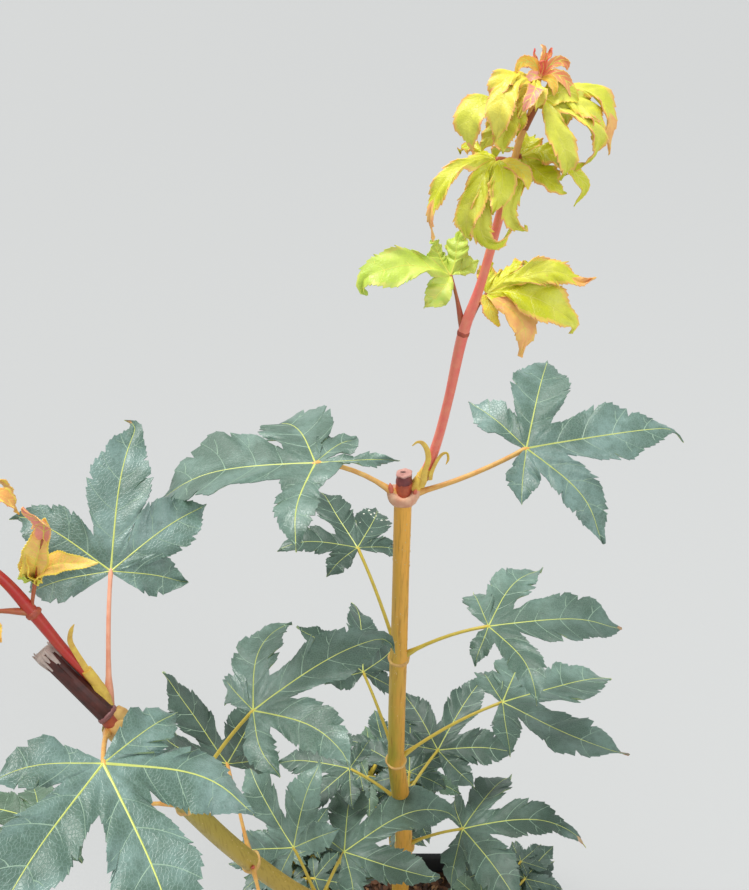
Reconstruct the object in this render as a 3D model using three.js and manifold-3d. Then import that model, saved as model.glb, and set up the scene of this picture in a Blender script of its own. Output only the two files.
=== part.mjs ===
// Potted korean maple: a young grafted plant in a square nursery pot.
// Millimetres, +Z up. The origin is the middle of the pot's flat underside.
// A straight main stem and a lower side stem were both cut back. Each ends in a short stub
// with a new red shoot beside it. Leaves stand in opposite pairs at the stems' nodes.

import * as THREE from "three";
import { mergeVertices } from "three/addons/utils/BufferGeometryUtils.js";
import Module from "manifold-3d";

const wasm = await Module();
wasm.setup();

const clearance = 0.3;
const weld = 0.001;

// Pot and filling
const potTopWidth = 110;
const potFootWidth = 84;
const potHeight = 130;
const potWall = 2;
const potFloor = 3;
const potRimOverhang = 3;
const potRimDepth = 9;
const potCornerRadius = 16;
const potFootBevel = 2;
const potRimBevel = 1;
const mixHeight = 118;
const mixCrown = 3;
const mixShoulder = 11;

// Heights of the main stem's nodes above the filling
const nodeHeights = { fork: 35, E: 129, D: 175, C: 217, B: 301, A: 405 };

// Main stem: height above the filling, sideways offset, radius
const trunkRun = [
  [0, 0, 7.6],
  [5, 0, 6.4],
  [14, -0.3, 5.6],
  [nodeHeights.fork, -1, 6.2],
  [60, -0.6, 5.1],
  [95, 0.4, 4.9],
  [nodeHeights.E - 4, 1.4, 4.7],
  [nodeHeights.E, 1.5, 5.3],
  [nodeHeights.E + 4, 1.2, 4.7],
  [nodeHeights.D, -1, 5.0],
  [nodeHeights.C - 5, -4.6, 4.4],
  [nodeHeights.C, -5, 5.0],
  [nodeHeights.C + 5, -5.1, 4.2],
  [260, -5.3, 4.1],
  [nodeHeights.B - 4, -5.2, 4.0],
  [nodeHeights.B, -5, 4.7],
  [nodeHeights.B + 4, -5, 3.8],
  [350, -5, 3.6],
  [nodeHeights.A - 7, -5, 3.5],
  [nodeHeights.A - 2, -5, 5.2],
  [nodeHeights.A + 3, -4.9, 4.9],
  [nodeHeights.A + 4.5, -4.8, 3.9],
  [nodeHeights.A + 8, -4.6, 3.8],
];

// Leaf outline: the middle lobe, a pair beside it and a basal pair
const lobeAngles = [0, 58, 106];
const lobeLengths = [1, 0.8, 0.5];
const lobeHalfWidths = [0.18, 0.2, 0.24];
const sinusReach = [0.26, 0.2];
const basalNotch = 0.05;
const petioleRadius = 0.85;
const thinnestBlade = 1;

// Low boughs: reach of the limb from the trunk, reach and rise of the stem of leaves that goes on
const boughReach = 44;
const stemReach = 70;
const stemRise = 22;
// Space that a low mass keeps to: half its sector in degrees, its lowest height above the
// filling and its distance from the trunk's axis
const halfSector = 50;
const lowestLeaf = 8;
const trunkRoom = 16;

const degrees = THREE.MathUtils.degToRad;
const vec = (x, y, z) => new THREE.Vector3(x, y, z);
const plant = new THREE.Group();

// Materials
const finish = (color, roughness, metalness = 0) =>
  new THREE.MeshStandardMaterial({ color, roughness, metalness });
const finishes = {
  pot: finish(0x1b1c1e, 0.55),
  mix: finish(0x4a382a, 0.95),
  bark: finish(0x8a7a35, 0.6),
  redShoot: finish(0xa8443a, 0.5),
  leaf: finish(0x4f6a58, 0.5),
  youngLeaf: finish(0xb9bd3c, 0.5),
};

// Repeatable random numbers from 0 to 1
function seeded(seed) {
  let state = seed;
  return () => {
    state = (state * 16807) % 2147483647;
    return state / 2147483647;
  };
}

function toSolid(geometry) {
  const bare = new THREE.BufferGeometry();
  bare.setAttribute("position", geometry.getAttribute("position"));
  bare.setIndex(geometry.getIndex());
  const merged = mergeVertices(bare, weld);
  return new wasm.Manifold(new wasm.Mesh({
    numProp: 3,
    vertProperties: new Float32Array(merged.getAttribute("position").array),
    triVerts: new Uint32Array(merged.getIndex().array),
  }));
}

function toGeometry(solid) {
  const mesh = solid.getMesh();
  const geometry = new THREE.BufferGeometry();
  geometry.setAttribute("position", new THREE.BufferAttribute(mesh.vertProperties, 3));
  geometry.setIndex(new THREE.BufferAttribute(mesh.triVerts, 1));
  return geometry;
}

// The largest body of a cut solid, without the scraps
function mainBody(solid) {
  const bodies = solid.decompose();
  return bodies.reduce((best, body) => (body.volume() > best.volume() ? body : best));
}

function addNode(name, solid, material) {
  const welded = toSolid(toGeometry(mainBody(solid)));
  const mesh = new THREE.Mesh(toGeometry(mainBody(welded)), material);
  mesh.name = name;
  plant.add(mesh);
}

// A closed skin through rings of equal count, capped at both ends
function loft(rings) {
  const sides = rings[0].length;
  const points = rings.flat();
  const faces = [];
  for (let r = 0; r + 1 < rings.length; r += 1) {
    for (let s = 0; s < sides; s += 1) {
      const a = r * sides + s;
      const b = r * sides + ((s + 1) % sides);
      faces.push(a, b, b + sides, a, b + sides, a + sides);
    }
  }
  const last = (rings.length - 1) * sides;
  for (let s = 1; s + 1 < sides; s += 1) {
    faces.push(0, s + 1, s, last, last + s, last + s + 1);
  }
  const geometry = new THREE.BufferGeometry().setFromPoints(points);
  geometry.setIndex(faces);
  return toSolid(geometry);
}

// A tapering limb through points, with a radius at each
function limb(points, radii, sides = 8) {
  const rings = [];
  let side = null;
  points.forEach((point, i) => {
    const before = points[Math.max(i - 1, 0)];
    const after = points[Math.min(i + 1, points.length - 1)];
    const along = after.clone().sub(before).normalize();
    side ??= Math.abs(along.x) < 0.8 ? vec(1, 0, 0) : vec(0, 1, 0);
    side = side.clone().addScaledVector(along, -side.dot(along)).normalize();
    const across = along.clone().cross(side);
    rings.push(Array.from({ length: sides }, (_, s) => {
      const turn = (2 * Math.PI * s) / sides;
      return point.clone()
        .addScaledVector(side, radii[i] * Math.cos(turn))
        .addScaledVector(across, radii[i] * Math.sin(turn));
    }));
  });
  return loft(rings);
}

// Evenly spaced points on a smooth curve, with radii interpolated between the given ones
function sweep(points, radii, steps, sides = 8, grow = 0) {
  const curve = new THREE.CatmullRomCurve3(points, false, "catmullrom", 0.5);
  const run = [];
  const sizes = [];
  for (let i = 0; i <= steps; i += 1) {
    const t = i / steps;
    const place = t * (radii.length - 1);
    const below = Math.min(Math.floor(place), radii.length - 2);
    run.push(curve.getPoint(t));
    sizes.push(THREE.MathUtils.lerp(radii[below], radii[below + 1], place - below) + grow);
  }
  run[steps].addScaledVector(curve.getTangent(1), grow);
  return limb(run, sizes, sides);
}

// A mid surface given thickness along its normals
function thicken(points, normals, faces, thickness) {
  const count = points.length;
  const skin = [1, -1].flatMap((way) =>
    points.map((point, i) => point.clone().addScaledVector(normals[i], (way * thickness) / 2)));
  const edges = new Map();
  const index = [];
  faces.forEach(([a, b, c]) => {
    index.push(a, b, c, c + count, b + count, a + count);
    [[a, b], [b, c], [c, a]].forEach(([from, to]) => {
      if (!edges.delete(`${to},${from}`)) edges.set(`${from},${to}`, [from, to]);
    });
  });
  edges.forEach(([from, to]) => {
    index.push(from, from + count, to + count, from, to + count, to);
  });
  const geometry = new THREE.BufferGeometry().setFromPoints(skin);
  geometry.setIndex(index);
  return geometry;
}

// One leaf blade in its own frame: the petiole meets it at the origin, its midrib runs along +X
// and its upper face looks up +Z. Each lobe bends down along its vein by droop, in radians, and
// the middle lobe leans sideways by sway, in degrees.
function blade({ size, droop = 0.3, fold = 0.15, spread = 1, sway = 0, coarse = false, slim = 1 }) {
  const points = [vec(0, 0, 0)];
  const normals = [vec(0, 0, 1)];
  const faces = [];
  const keep = (point, normal) => {
    points.push(point);
    normals.push(normal);
    return points.length - 1;
  };

  const lobes = [-2, -1, 0, 1, 2].map((which) => {
    const rank = Math.abs(which);
    const turn = Math.sign(which) * degrees(lobeAngles[rank]) * spread + (rank ? 0 : degrees(sway));
    const length = size * lobeLengths[rank];
    const bend = Math.max(droop * (0.6 + 0.4 * lobeLengths[rank]), 0.01);
    const out = vec(Math.cos(turn), Math.sin(turn), 0);
    const left = vec(-Math.sin(turn), Math.cos(turn), 0);
    // A point at the share u of the vein and v beside it, in lengths of the lobe
    const at = (u, v) => {
      const angle = bend * u;
      const normal = out.clone().multiplyScalar(Math.sin(angle)).setZ(Math.cos(angle));
      const point = out.clone().multiplyScalar((length * Math.sin(angle)) / bend);
      point.z = (-length * (1 - Math.cos(angle))) / bend;
      point.addScaledVector(left, length * v * Math.cos(fold));
      point.addScaledVector(normal, length * Math.abs(v) * Math.sin(fold));
      return { point, normal };
    };
    return { rank, turn, length, at, halfWidth: lobeHalfWidths[rank] * slim };
  });

  // The notch between two lobes, or between a basal lobe and the petiole
  const notches = [-2, -1, 0, 1, 2, 3].map((gap) => {
    const right = lobes[gap + 1];
    const left = lobes[gap + 2];
    if (!right || !left) {
      const only = right ?? left;
      const side = right ? 1 : -1;
      const { point, normal } = only.at(basalNotch, side * basalNotch);
      return keep(point, normal);
    }
    const reach = sinusReach[Math.max(right.rank, left.rank) - 1] * size;
    const half = (left.turn - right.turn) / 2;
    const a = right.at((reach * Math.cos(half)) / right.length, (reach * Math.sin(half)) / right.length);
    const b = left.at((reach * Math.cos(half)) / left.length, (-reach * Math.sin(half)) / left.length);
    return keep(a.point.add(b.point).multiplyScalar(0.5), a.normal.add(b.normal).normalize());
  });

  const stations = coarse ? [0.5] : [0.48, 0.76];
  const widths = coarse ? [1] : [1, 0.66];
  lobes.forEach((lobe, n) => {
    const spine = [0, 0.27, ...stations, 1].map((u, i) => {
      if (i === 0) return 0;
      const { point, normal } = lobe.at(u, 0);
      return keep(point, normal);
    });
    const tip = spine[spine.length - 1];
    [1, -1].forEach((side) => {
      const edge = [notches[side > 0 ? n + 1 : n]];
      stations.forEach((u, i) => {
        const { point, normal } = lobe.at(u + 0.02, side * lobe.halfWidth * widths[i]);
        edge.push(keep(point, normal));
      });
      const add = (a, b, c) => faces.push(side > 0 ? [a, b, c] : [a, c, b]);
      add(spine[0], spine[1], edge[0]);
      for (let i = 1; i + 1 < spine.length; i += 1) {
        const near = edge[i - 1];
        const far = edge[i] ?? tip;
        add(spine[i], spine[i + 1], near);
        if (far !== tip) add(spine[i + 1], far, near);
      }
    });
  });
  return thicken(points, normals, faces, Math.max(thinnestBlade, size / 60));
}

const heading = (azimuth, rise) => vec(
  Math.cos(degrees(azimuth)) * Math.cos(degrees(rise)),
  Math.sin(degrees(azimuth)) * Math.cos(degrees(rise)),
  Math.sin(degrees(rise)),
);

// A leaf with its petiole, springing from a point inside a stem
function leaf(root, row) {
  const foot = root.clone().add(vec(...(row.foot ?? [0, 0, 0])));
  const join = foot.clone().addScaledVector(heading(row.azimuth, row.rise), row.petiole);
  const turn = new THREE.Matrix4()
    .makeRotationZ(degrees(row.facing))
    .multiply(new THREE.Matrix4().makeRotationY(degrees(row.dip)))
    .multiply(new THREE.Matrix4().makeRotationX(degrees(row.roll)));
  const surface = blade(row).applyMatrix4(turn).translate(join.x, join.y, join.z);
  const sunk = vec(row.size * 0.05, 0, 0).applyMatrix4(turn).add(join);
  const middle = foot.clone().lerp(join, 0.5).add(vec(0, 0, (row.arch ?? 0.07) * row.petiole));
  const radius = row.stalk ?? petioleRadius;
  const neck = foot.clone().lerp(join, 0.97);
  const run = [[foot, 1.7], [middle, 1.1], [neck, 0.9], [join, 0.5], [sunk, 0.4]]
    .filter((_, i) => i !== 1 || !row.coarse);
  const radii = run.map(([, share]) => share * radius);
  const stalk = limb(run.map(([point]) => point), radii, row.coarse ? 3 : 4);
  return toSolid(surface).add(stalk);
}

// Pot and filling
function roundedSquare(width, height, corner = potCornerRadius) {
  const arm = width / 2 - corner;
  const steps = 3;
  const ring = [];
  for (let quarter = 0; quarter < 4; quarter += 1) {
    const centre = vec(arm, arm, height).applyAxisAngle(vec(0, 0, 1), (quarter * Math.PI) / 2);
    for (let i = 0; i <= steps; i += 1) {
      const turn = ((quarter + i / steps) * Math.PI) / 2;
      ring.push(vec(centre.x + corner * Math.cos(turn), centre.y + corner * Math.sin(turn), height));
    }
  }
  return ring;
}
const outerWidth = (z) => THREE.MathUtils.lerp(potFootWidth, potTopWidth, z / potHeight);
const innerWidth = (z) => outerWidth(z) - 2 * potWall;
const rimFoot = potHeight - potRimDepth;
const rimWidth = potTopWidth + 2 * potRimOverhang;

function pot() {
  return loft([
    roundedSquare(potFootWidth - 2 * potFootBevel, 0),
    roundedSquare(outerWidth(potFootBevel), potFootBevel),
    roundedSquare(outerWidth(rimFoot), rimFoot),
    roundedSquare(outerWidth(rimFoot) + 2 * potRimOverhang, rimFoot + potRimBevel),
    roundedSquare(rimWidth, potHeight - potRimBevel),
    roundedSquare(rimWidth - 2 * potRimBevel, potHeight),
    roundedSquare(innerWidth(potHeight), potHeight),
    roundedSquare(innerWidth(potFloor), potFloor),
  ]);
}

// The filling stands clear of the pot all round, and is crowned in the middle
function pottingMix() {
  const gap = 2 * clearance;
  const underside = potFloor + clearance;
  const shoulder = mixHeight - mixCrown;
  return loft([
    roundedSquare(innerWidth(underside) - gap, underside),
    roundedSquare(innerWidth(shoulder) - gap, shoulder),
    roundedSquare(innerWidth(mixHeight) - 2 * mixShoulder, mixHeight),
  ]);
}
addNode("pot", pot(), finishes.pot);
addNode("potting_mix", pottingMix(), finishes.mix);

// Main stem
const soil = mixHeight + clearance;
const onTrunk = (height) => {
  const above = trunkRun.findIndex(([h]) => h >= height);
  const [h1, x1] = trunkRun[above];
  const [h0, x0] = trunkRun[Math.max(above - 1, 0)];
  const share = h1 > h0 ? (height - h0) / (h1 - h0) : 0;
  return vec(THREE.MathUtils.lerp(x0, x1, share), 0, soil + height);
};
const trunkSolid = (grow) => limb(
  trunkRun.map(([height, x], i) => vec(x, 0, soil + height - (i === 0 ? grow : 0))),
  trunkRun.map(([, , radius]) => radius + grow),
  10,
);
const trunkSpace = trunkSolid(clearance);
addNode("trunk", trunkSolid(0), finishes.bark);

const nodeA = onTrunk(nodeHeights.A);
const fromA = (x, y, z) => vec(x, y, z).add(nodeA);

// New leader beside the stub, up to the foot of its tuft
const leaderNode = fromA(20.2, 0, 72);
const leaderPoints = [
  fromA(1.5, 0.5, 0), fromA(9, 1, 8), fromA(13, 0.5, 24), fromA(16.5, 0, 45), leaderNode,
  fromA(25.3, 0, 92), fromA(30, 0, 118),
];
const leaderRadii = [2.4, 2.2, 1.9, 1.8, 2.1, 1.6, 1.5];
const leaderSolid = (grow) => sweep(leaderPoints, leaderRadii, 18, 8, grow);
const leaderSpace = leaderSolid(clearance);
addNode("leader", leaderSolid(0).subtract(trunkSpace), finishes.redShoot);

// Side stem from low on the trunk, curving up to its own stub
const sideNodes = {
  N2: fromA(-42, -44, -255),
  N1: fromA(-73, -53, -193),
  Nm: fromA(-93, -66, -120),
  N0: fromA(-106, -83, -40),
};
const sidePoints = [
  onTrunk(nodeHeights.fork).add(vec(-2, -1, -2)), sideNodes.N2, sideNodes.N1, sideNodes.Nm,
  sideNodes.N0, fromA(-127, -74, -14),
];
const sideRadii = [5, 4.7, 4.5, 4.2, 3.9, 3.4];
const sideSolid = (grow) => sweep(sidePoints, sideRadii, 30, 8, grow);
const sideSpace = sideSolid(clearance);
addNode("side_stem", sideSolid(0).subtract(trunkSpace), finishes.bark);

// New shoot beside the side stem's stub, up to the foot of its tuft
const shootNode = fromA(-127, -71, 3);
const shootPoints = [
  sideNodes.N0.clone().add(vec(0, 2, 3)), fromA(-109, -77, -29), fromA(-119, -74, -12), shootNode,
  fromA(-135, -69, 18), fromA(-146, -68, 30),
];
const shootSolid = (grow) => sweep(shootPoints, [2.4, 2, 1.8, 2.1, 1.6, 1.5], 15, 8, grow);
const shootSpace = shootSolid(clearance);
addNode("side_shoot", shootSolid(0).subtract(sideSpace), finishes.redShoot);

const limbSpace = trunkSpace.add(leaderSpace).add(sideSpace).add(shootSpace);

// Single leaves, each clear of the limbs. Of each petiole: the node it springs from, azimuth,
// rise and length. Of each blade: its size, the way it faces, its dip and its roll.
function single(name, root, material, [azimuth, rise, petiole], [size, facing, dip, roll], more) {
  const row = { azimuth, rise, petiole, size, facing, dip, roll, ...more };
  addNode(`leaf_${name}`, leaf(root, row).subtract(limbSpace), material);
}
const onMain = (name, height, ...row) =>
  single(name, onTrunk(nodeHeights[height]), finishes.leaf, ...row);
const onSide = (name, node, ...row) => single(name, sideNodes[node], finishes.leaf, ...row);

onMain("A_right", "A", [2, 25, 54], [63, 9, -5, 20],
  { foot: [0, 0, -3], arch: -0.05, droop: 0.15, spread: 1.1 });
onMain("A_left", "A", [191, 34, 43], [67, 188, 5, 4],
  { foot: [0, 0, -3], arch: 0.1, droop: 0.15, spread: 1.2 });
onMain("B_left", "B", [120, 45, 57], [51, 125, -9, 10], { droop: 0.15, sway: -10 });
onMain("B_right", "B", [-2, 30, 48], [60, -6, -12, -5], { droop: 0.1 });
onMain("C_left", "C", [122, 48, 51], [56, 103, -12, 35], { droop: 0.1, sway: -15 });
onMain("C_right", "C", [10, 33, 68], [74, 12, 2, -18], { droop: 0.1, sway: 12 });
onMain("D_right", "D", [53, 11, 38], [59, 57, -22, 0], { droop: 0.4 });
onMain("D_left", "D", [165, 35, 38], [46, 166, 0, 0]);
onMain("E_right", "E", [-9, 40, 44], [70, -1, -23, -13], { droop: 0.4, sway: -8 });
onMain("E_back", "E", [84, 38, 42], [50, 88, -8, 0]);

onSide("N2_right", "N2", [31, 67, 42], [67, 31, 0, -15], { droop: 0.1, sway: -8 });
onSide("N2_left", "N2", [137, 63, 40], [60, 132, -21, -55]);
onSide("N1_up", "N1", [113, 52, 50], [58, 147, -51, -70]);
onSide("N1_front", "N1", [-70, 10, 45], [55, -70, 10, 0]);
onSide("Nm_right", "Nm", [29, 50, 54], [65, 26, -18, -3]);
onSide("Nm_left", "Nm", [205, 26, 60], [50, 220, -8, 4], { droop: 0.4 });
onSide("N0_up", "N0", [94, 55, 51], [56, 94, -44, 8], { foot: [1.5, 5, 2], droop: 0.4, sway: -8 });
onSide("N0_front", "N0", [-70, 33, 36], [67, -52, 12, -15], { droop: 0.1, spread: 1.05 });

// Half-grown leaves on the two red shoots
const onLeader = (name, ...row) => single(name, leaderNode, finishes.youngLeaf, ...row);
const onShoot = (name, ...row) => single(name, shootNode, finishes.youngLeaf, ...row);
onLeader("leader_left", [130, 69, 22], [31, 182, 15, 0],
  { stalk: 0.7, droop: 0.2, spread: 1.1, sway: -12 });
onLeader("leader_right", [40, 46, 17], [46, -4, -15, 15],
  { stalk: 0.7, droop: 0.8, spread: 0.8, sway: 15 });
onShoot("shoot_right", [60, 75, 9], [26, 75, -60, 30], { stalk: 0.7, fold: 0.6 });
onShoot("shoot_left", [200, 20, 16], [28, 205, 5, 0], { stalk: 0.7, droop: 0.6 });

// A mass of foliage: one stem with its leaves fused on, clear of the limb that carries it
function mass(name, carrierSpace, points, radii, rows, material) {
  const stem = sweep(points, radii, 3 * (points.length - 1), 6);
  const solid = rows.reduce((whole, [root, row]) => whole.add(leaf(root, row)), stem);
  addNode(name, solid.subtract(carrierSpace), material);
}

// Tuft at the leader's tip: drooping young leaves round the last nodes
const tuftPoints = [
  fromA(30, 0, 118), fromA(32.3, 0, 131), fromA(33.7, 0, 139), fromA(36.5, 0, 148),
  fromA(38.1, 0, 155), fromA(38, 0, 160),
];
const young = { stalk: 0.8, slim: 0.85, coarse: true };
const tuftLeaf = (node, [azimuth, rise, petiole], [size, facing, dip, roll], droop) =>
  [tuftPoints[node], { ...young, azimuth, rise, petiole, size, facing, dip, roll, droop }];
mass("leader_tuft", leaderSpace, tuftPoints, [1.5, 1.5, 1.4, 1.2, 1, 0.8], [
  tuftLeaf(1, [190, 25, 7], [38, 205, -5, -10], 1.9),
  tuftLeaf(1, [10, 20, 5], [24, -20, 20, 0], 0.6),
  tuftLeaf(3, [200, 20, 4], [27, 200, 0, 0], 1.7),
  tuftLeaf(3, [-10, 40, 8], [34, -15, -20, 0], 2.1),
  tuftLeaf(4, [90, 50, 3], [15, 90, -10, 0], 1.2),
  tuftLeaf(4, [250, 50, 3], [14, 240, -10, 0], 1),
], finishes.youngLeaf);

// Leaf pairs by rule: each pair stands crosswise to the last one, with small random turns.
// A leaf that would reach out of the mass's own space is skipped.
function leafPairs({ points, seed, pairs, size, turn, keeps, look }) {
  const random = seeded(seed);
  const vary = (range) => (random() * 2 - 1) * range;
  const curve = new THREE.CatmullRomCurve3(points, false, "catmullrom", 0.5);
  const rows = [];
  for (let pair = 0; pair < pairs; pair += 1) {
    const share = 0.2 + (0.8 * pair) / (pairs - 1);
    const root = curve.getPoint(share);
    for (const half of [0, 180]) {
      const grown = size * (1.1 - 0.3 * share) * (1 + vary(0.1));
      const azimuth = turn + 90 * pair + half + vary(20);
      const row = {
        azimuth,
        rise: 25 + 25 * share + vary(8),
        petiole: 0.7 * grown,
        size: grown,
        facing: azimuth + vary(15),
        dip: vary(8),
        roll: vary(14),
        droop: 0.3 + vary(0.15),
        ...look,
      };
      const join = root.clone().addScaledVector(heading(row.azimuth, row.rise), row.petiole);
      const tip = join.clone().addScaledVector(heading(row.facing, -row.dip), row.size);
      if (keeps(join) && keeps(tip)) rows.push([root, row]);
    }
  }
  return rows;
}

const shootTuft = [fromA(-145.5, -68, 29.4), fromA(-155, -66, 40), fromA(-161, -65, 50)];
mass("side_tuft", shootSpace, shootTuft, [1.4, 1.2, 0.8], leafPairs({
  points: shootTuft, seed: 7, pairs: 2, size: 27, turn: 60, keeps: () => true,
  look: { ...young, droop: 1.5 },
}), finishes.youngLeaf);

// Low boughs round the foot of the trunk, each bearing a mass that keeps to its own sector
const lowBoughs = [
  { name: "low_back", heading: 95, from: 46, rise: 16, ceiling: 118, seed: 11, turn: 10 },
  { name: "low_left", heading: 165, from: 24, rise: 18, ceiling: 118, seed: 23, turn: 60 },
  { name: "low_front", heading: 285, from: 20, rise: 12, ceiling: 100, seed: 43, turn: 70 },
  { name: "low_right", heading: 0, from: 30, rise: 4, ceiling: 82, seed: 31, turn: 20 },
];
lowBoughs.forEach(({ name, heading: azimuth, from, rise, ceiling, seed, turn }) => {
  const along = (out, up) =>
    onTrunk(from).add(heading(azimuth, 0).multiplyScalar(out)).add(vec(0, 0, up));
  const bough = [onTrunk(from), along(0.55 * boughReach, 10), along(boughReach, rise)];
  const boughSolid = (grow) => sweep(bough, [3.4, 2.7, 2.2], 8, 7, grow);
  addNode(`${name}_bough`, boughSolid(0).subtract(trunkSpace), finishes.bark);
  const stem = [
    along(boughReach - 1, rise - 0.6),
    along((boughReach + stemReach) / 2, rise + 0.4 * stemRise),
    along(stemReach, rise + stemRise),
  ];
  const keeps = (point) => {
    const turned = Math.atan2(point.y, point.x) - degrees(azimuth);
    const off = Math.abs(Math.atan2(Math.sin(turned), Math.cos(turned)));
    return off < degrees(halfSector) && point.z > soil + lowestLeaf
      && point.z < soil + ceiling && Math.hypot(point.x, point.y) > trunkRoom;
  };
  const rows = leafPairs({
    points: stem, seed, pairs: 5, size: 44, turn, keeps, look: { coarse: true },
  });
  mass(`${name}_leaves`, boughSolid(clearance), stem, [2.1, 1.7, 1.2], rows, finishes.leaf);
});

export default plant;
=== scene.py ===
"""Looks of a potted korean maple: a young plant with two stems in a square nursery pot.

Lengths are written in millimetres, in the part's frame, and turned into metres as each piece is
made. Leaves stand at the same nodes and grow by the same rules as the part's solids. Some of their
lobes are turned or lengthened by a few millimetres, to meet the photograph more closely.
"""

import math

import bpy
import numpy as np
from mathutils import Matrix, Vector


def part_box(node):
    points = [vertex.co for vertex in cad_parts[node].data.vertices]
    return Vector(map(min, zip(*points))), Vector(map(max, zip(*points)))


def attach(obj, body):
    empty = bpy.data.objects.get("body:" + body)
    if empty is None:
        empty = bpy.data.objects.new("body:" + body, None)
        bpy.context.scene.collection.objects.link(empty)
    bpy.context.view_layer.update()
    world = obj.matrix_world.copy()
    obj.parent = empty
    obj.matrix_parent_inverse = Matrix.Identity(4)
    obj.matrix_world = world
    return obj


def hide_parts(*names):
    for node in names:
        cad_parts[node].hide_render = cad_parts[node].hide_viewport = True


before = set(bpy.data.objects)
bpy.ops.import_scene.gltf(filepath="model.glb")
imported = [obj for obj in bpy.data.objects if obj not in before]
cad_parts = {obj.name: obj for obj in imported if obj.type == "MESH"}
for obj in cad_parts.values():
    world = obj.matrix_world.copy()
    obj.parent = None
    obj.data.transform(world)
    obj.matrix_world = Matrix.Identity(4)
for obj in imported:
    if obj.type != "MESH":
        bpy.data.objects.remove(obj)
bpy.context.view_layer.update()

MM = 0.001
CLEARANCE = 0.3
UP = np.array([0.0, 0.0, 1.0])


def vec(*values):
    return np.array(values, float)


# The filling's top carries the stems. The pot gives the sizes round it.
POT_HIGH = np.array(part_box("pot")[1]) / MM
MIX_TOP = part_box("potting_mix")[1].z / MM
SOIL = MIX_TOP + CLEARANCE
POT_HEIGHT = POT_HIGH[2]
RIM_WIDTH = 2 * POT_HIGH[0]

# Heights of the main stem's nodes above the filling
NODE_HEIGHTS = {"fork": 35, "E": 129, "D": 175, "C": 217, "B": 301, "A": 405}

# Main stem: height above the filling, sideways offset, radius
TRUNK_RUN = np.array([
    [0, 0, 7.6], [5, 0, 6.4], [14, -0.3, 5.6], [35, -1, 6.2], [60, -0.6, 5.1], [95, 0.4, 4.9],
    [125, 1.4, 4.7], [129, 1.5, 5.3], [133, 1.2, 4.7], [175, -1, 5.0], [212, -4.6, 4.4],
    [217, -5, 5.0], [222, -5.1, 4.2], [260, -5.3, 4.1], [297, -5.2, 4.0], [301, -5, 4.7],
    [305, -5, 3.8], [350, -5, 3.6], [398, -5, 3.5], [403, -5, 5.2], [408, -4.9, 4.9],
    [409.5, -4.8, 3.9], [413, -4.6, 3.8],
])
# In the photograph the trunk is a little stouter than its solid
TRUNK_RUN[:, 2] *= 1.06
# Height where the main stem's bark ends under its stub, and between its rings of points
BARK_END, BARK_STEP = 403.8, 1.1

# Leaf outline: the middle lobe, a pair beside it and a basal pair
LOBE_TURNS = (0, 58, 106)
LOBE_LENGTHS = (1, 0.8, 0.5)
LOBE_HALF_WIDTHS = (0.18, 0.2, 0.24)
SINUS_REACH = (0.26, 0.2)
BASAL_NOTCH = 0.05
PALM_REACH = (0.12, 0.11, 0.055)
PETIOLE_RADIUS = 0.85
BLADE_THICKNESS = 0.32
# Half-width along a lobe from its notch to its tip, as a share of the widest place
LOBE_SHOULDERS = (
    (0.32, 0.72), (0.42, 0.94), (0.52, 1.08), (0.63, 1.06), (0.73, 0.86), (0.82, 0.56), (0.9, 0.26),
    (0.95, 0.09),
)
# Shares of a lobe's length where its bent midrib is worked out, a little past its tip too
LOBE_PLACES = np.linspace(0, 1.1, 56)
# How far chance may change a lobe: turn, hook and tip in degrees, fold and curl in radians
LOBE_CHANCE = {"turn": 2, "slim": 0.08, "fold": 0.05, "curl": 0.2, "hook": 14, "tip": 25}
USUAL_CURL = 0.25
# Where along a lobe's margin its big teeth stand, and how far the margin steps in behind each
LOBULE_ENDS = (0.34, 0.58, 0.78)
LOBULE_STEPS = (0.14, 0.26, 0.3)
# A tooth's tip, as a share of the tooth
TOOTH_TIP = 0.8
# Teeth as shares of the row's serration: big ones and small ones, how far their tips stand out and
# how far the valleys between them go in
BIG_TOOTH, SMALL_TOOTH, TIP_OUT, VALLEY_IN = 1.6, 0.7, 0.8, 0.3
# Powers by which teeth spread along a lobe's margin and their rows along its midrib
MARGIN_SPREAD, MIDRIB_SPREAD = 0.94, 1.35
# Rows of points sweep back by this share of their length, as side veins do
ROW_SWEEP = 0.12
# Beyond its notch a margin comes free of the next lobe over this share of the leaf's size
NOTCH_FADE = 0.16
# Share of the side veins that fork
FORKED_VEINS = 0.7
# Half-widths of veins as shares of the leaf's size: midribs by lobe, and side veins by lobe
MIDRIB_WIDTH = 0.0082
MIDRIB_STRENGTHS = (1.0, 0.85, 0.65)
VEIN_WIDTHS = (0.0036, 0.0032, 0.0028, 0.0024)
# Young leaves are thinner, on thinner stalks
YOUNG_THICKNESS = 0.26
YOUNG_STALK = 0.7
# A young lobe: length of a tooth in its saw edge, where its points stand from edge to edge, and
# where along it the outline's widths are given
SAW_TOOTH = 0.95
STRAP_COLUMNS = np.array([-1, -0.86, -0.55, -0.25, 0, 0.25, 0.55, 0.86, 1])
STRAP_PLACES = (0, 0.1, 0.32, 0.55, 0.75, 0.9, 1)


# Colours

def tint(red, green, blue):
    """A colour named by its display values from 0 to 255, as the shader's linear values."""
    shares = np.array([red, green, blue]) / 255
    linear = np.where(shares <= 0.04045, shares / 12.92, ((shares + 0.055) / 1.055) ** 2.4)
    return (*linear, 1.0)


def scaled(colour, factor, lift=0.0):
    return tuple(min(1.0, factor * channel + lift) for channel in colour[:3]) + (1.0,)


SHEEN_ROUGHNESS = 0.45
NOISE_ROUGHNESS = 0.55
# The Mix node's sockets for colours, by number
MIX_FIRST, MIX_SECOND, MIX_RESULT = 6, 7, 2


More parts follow.
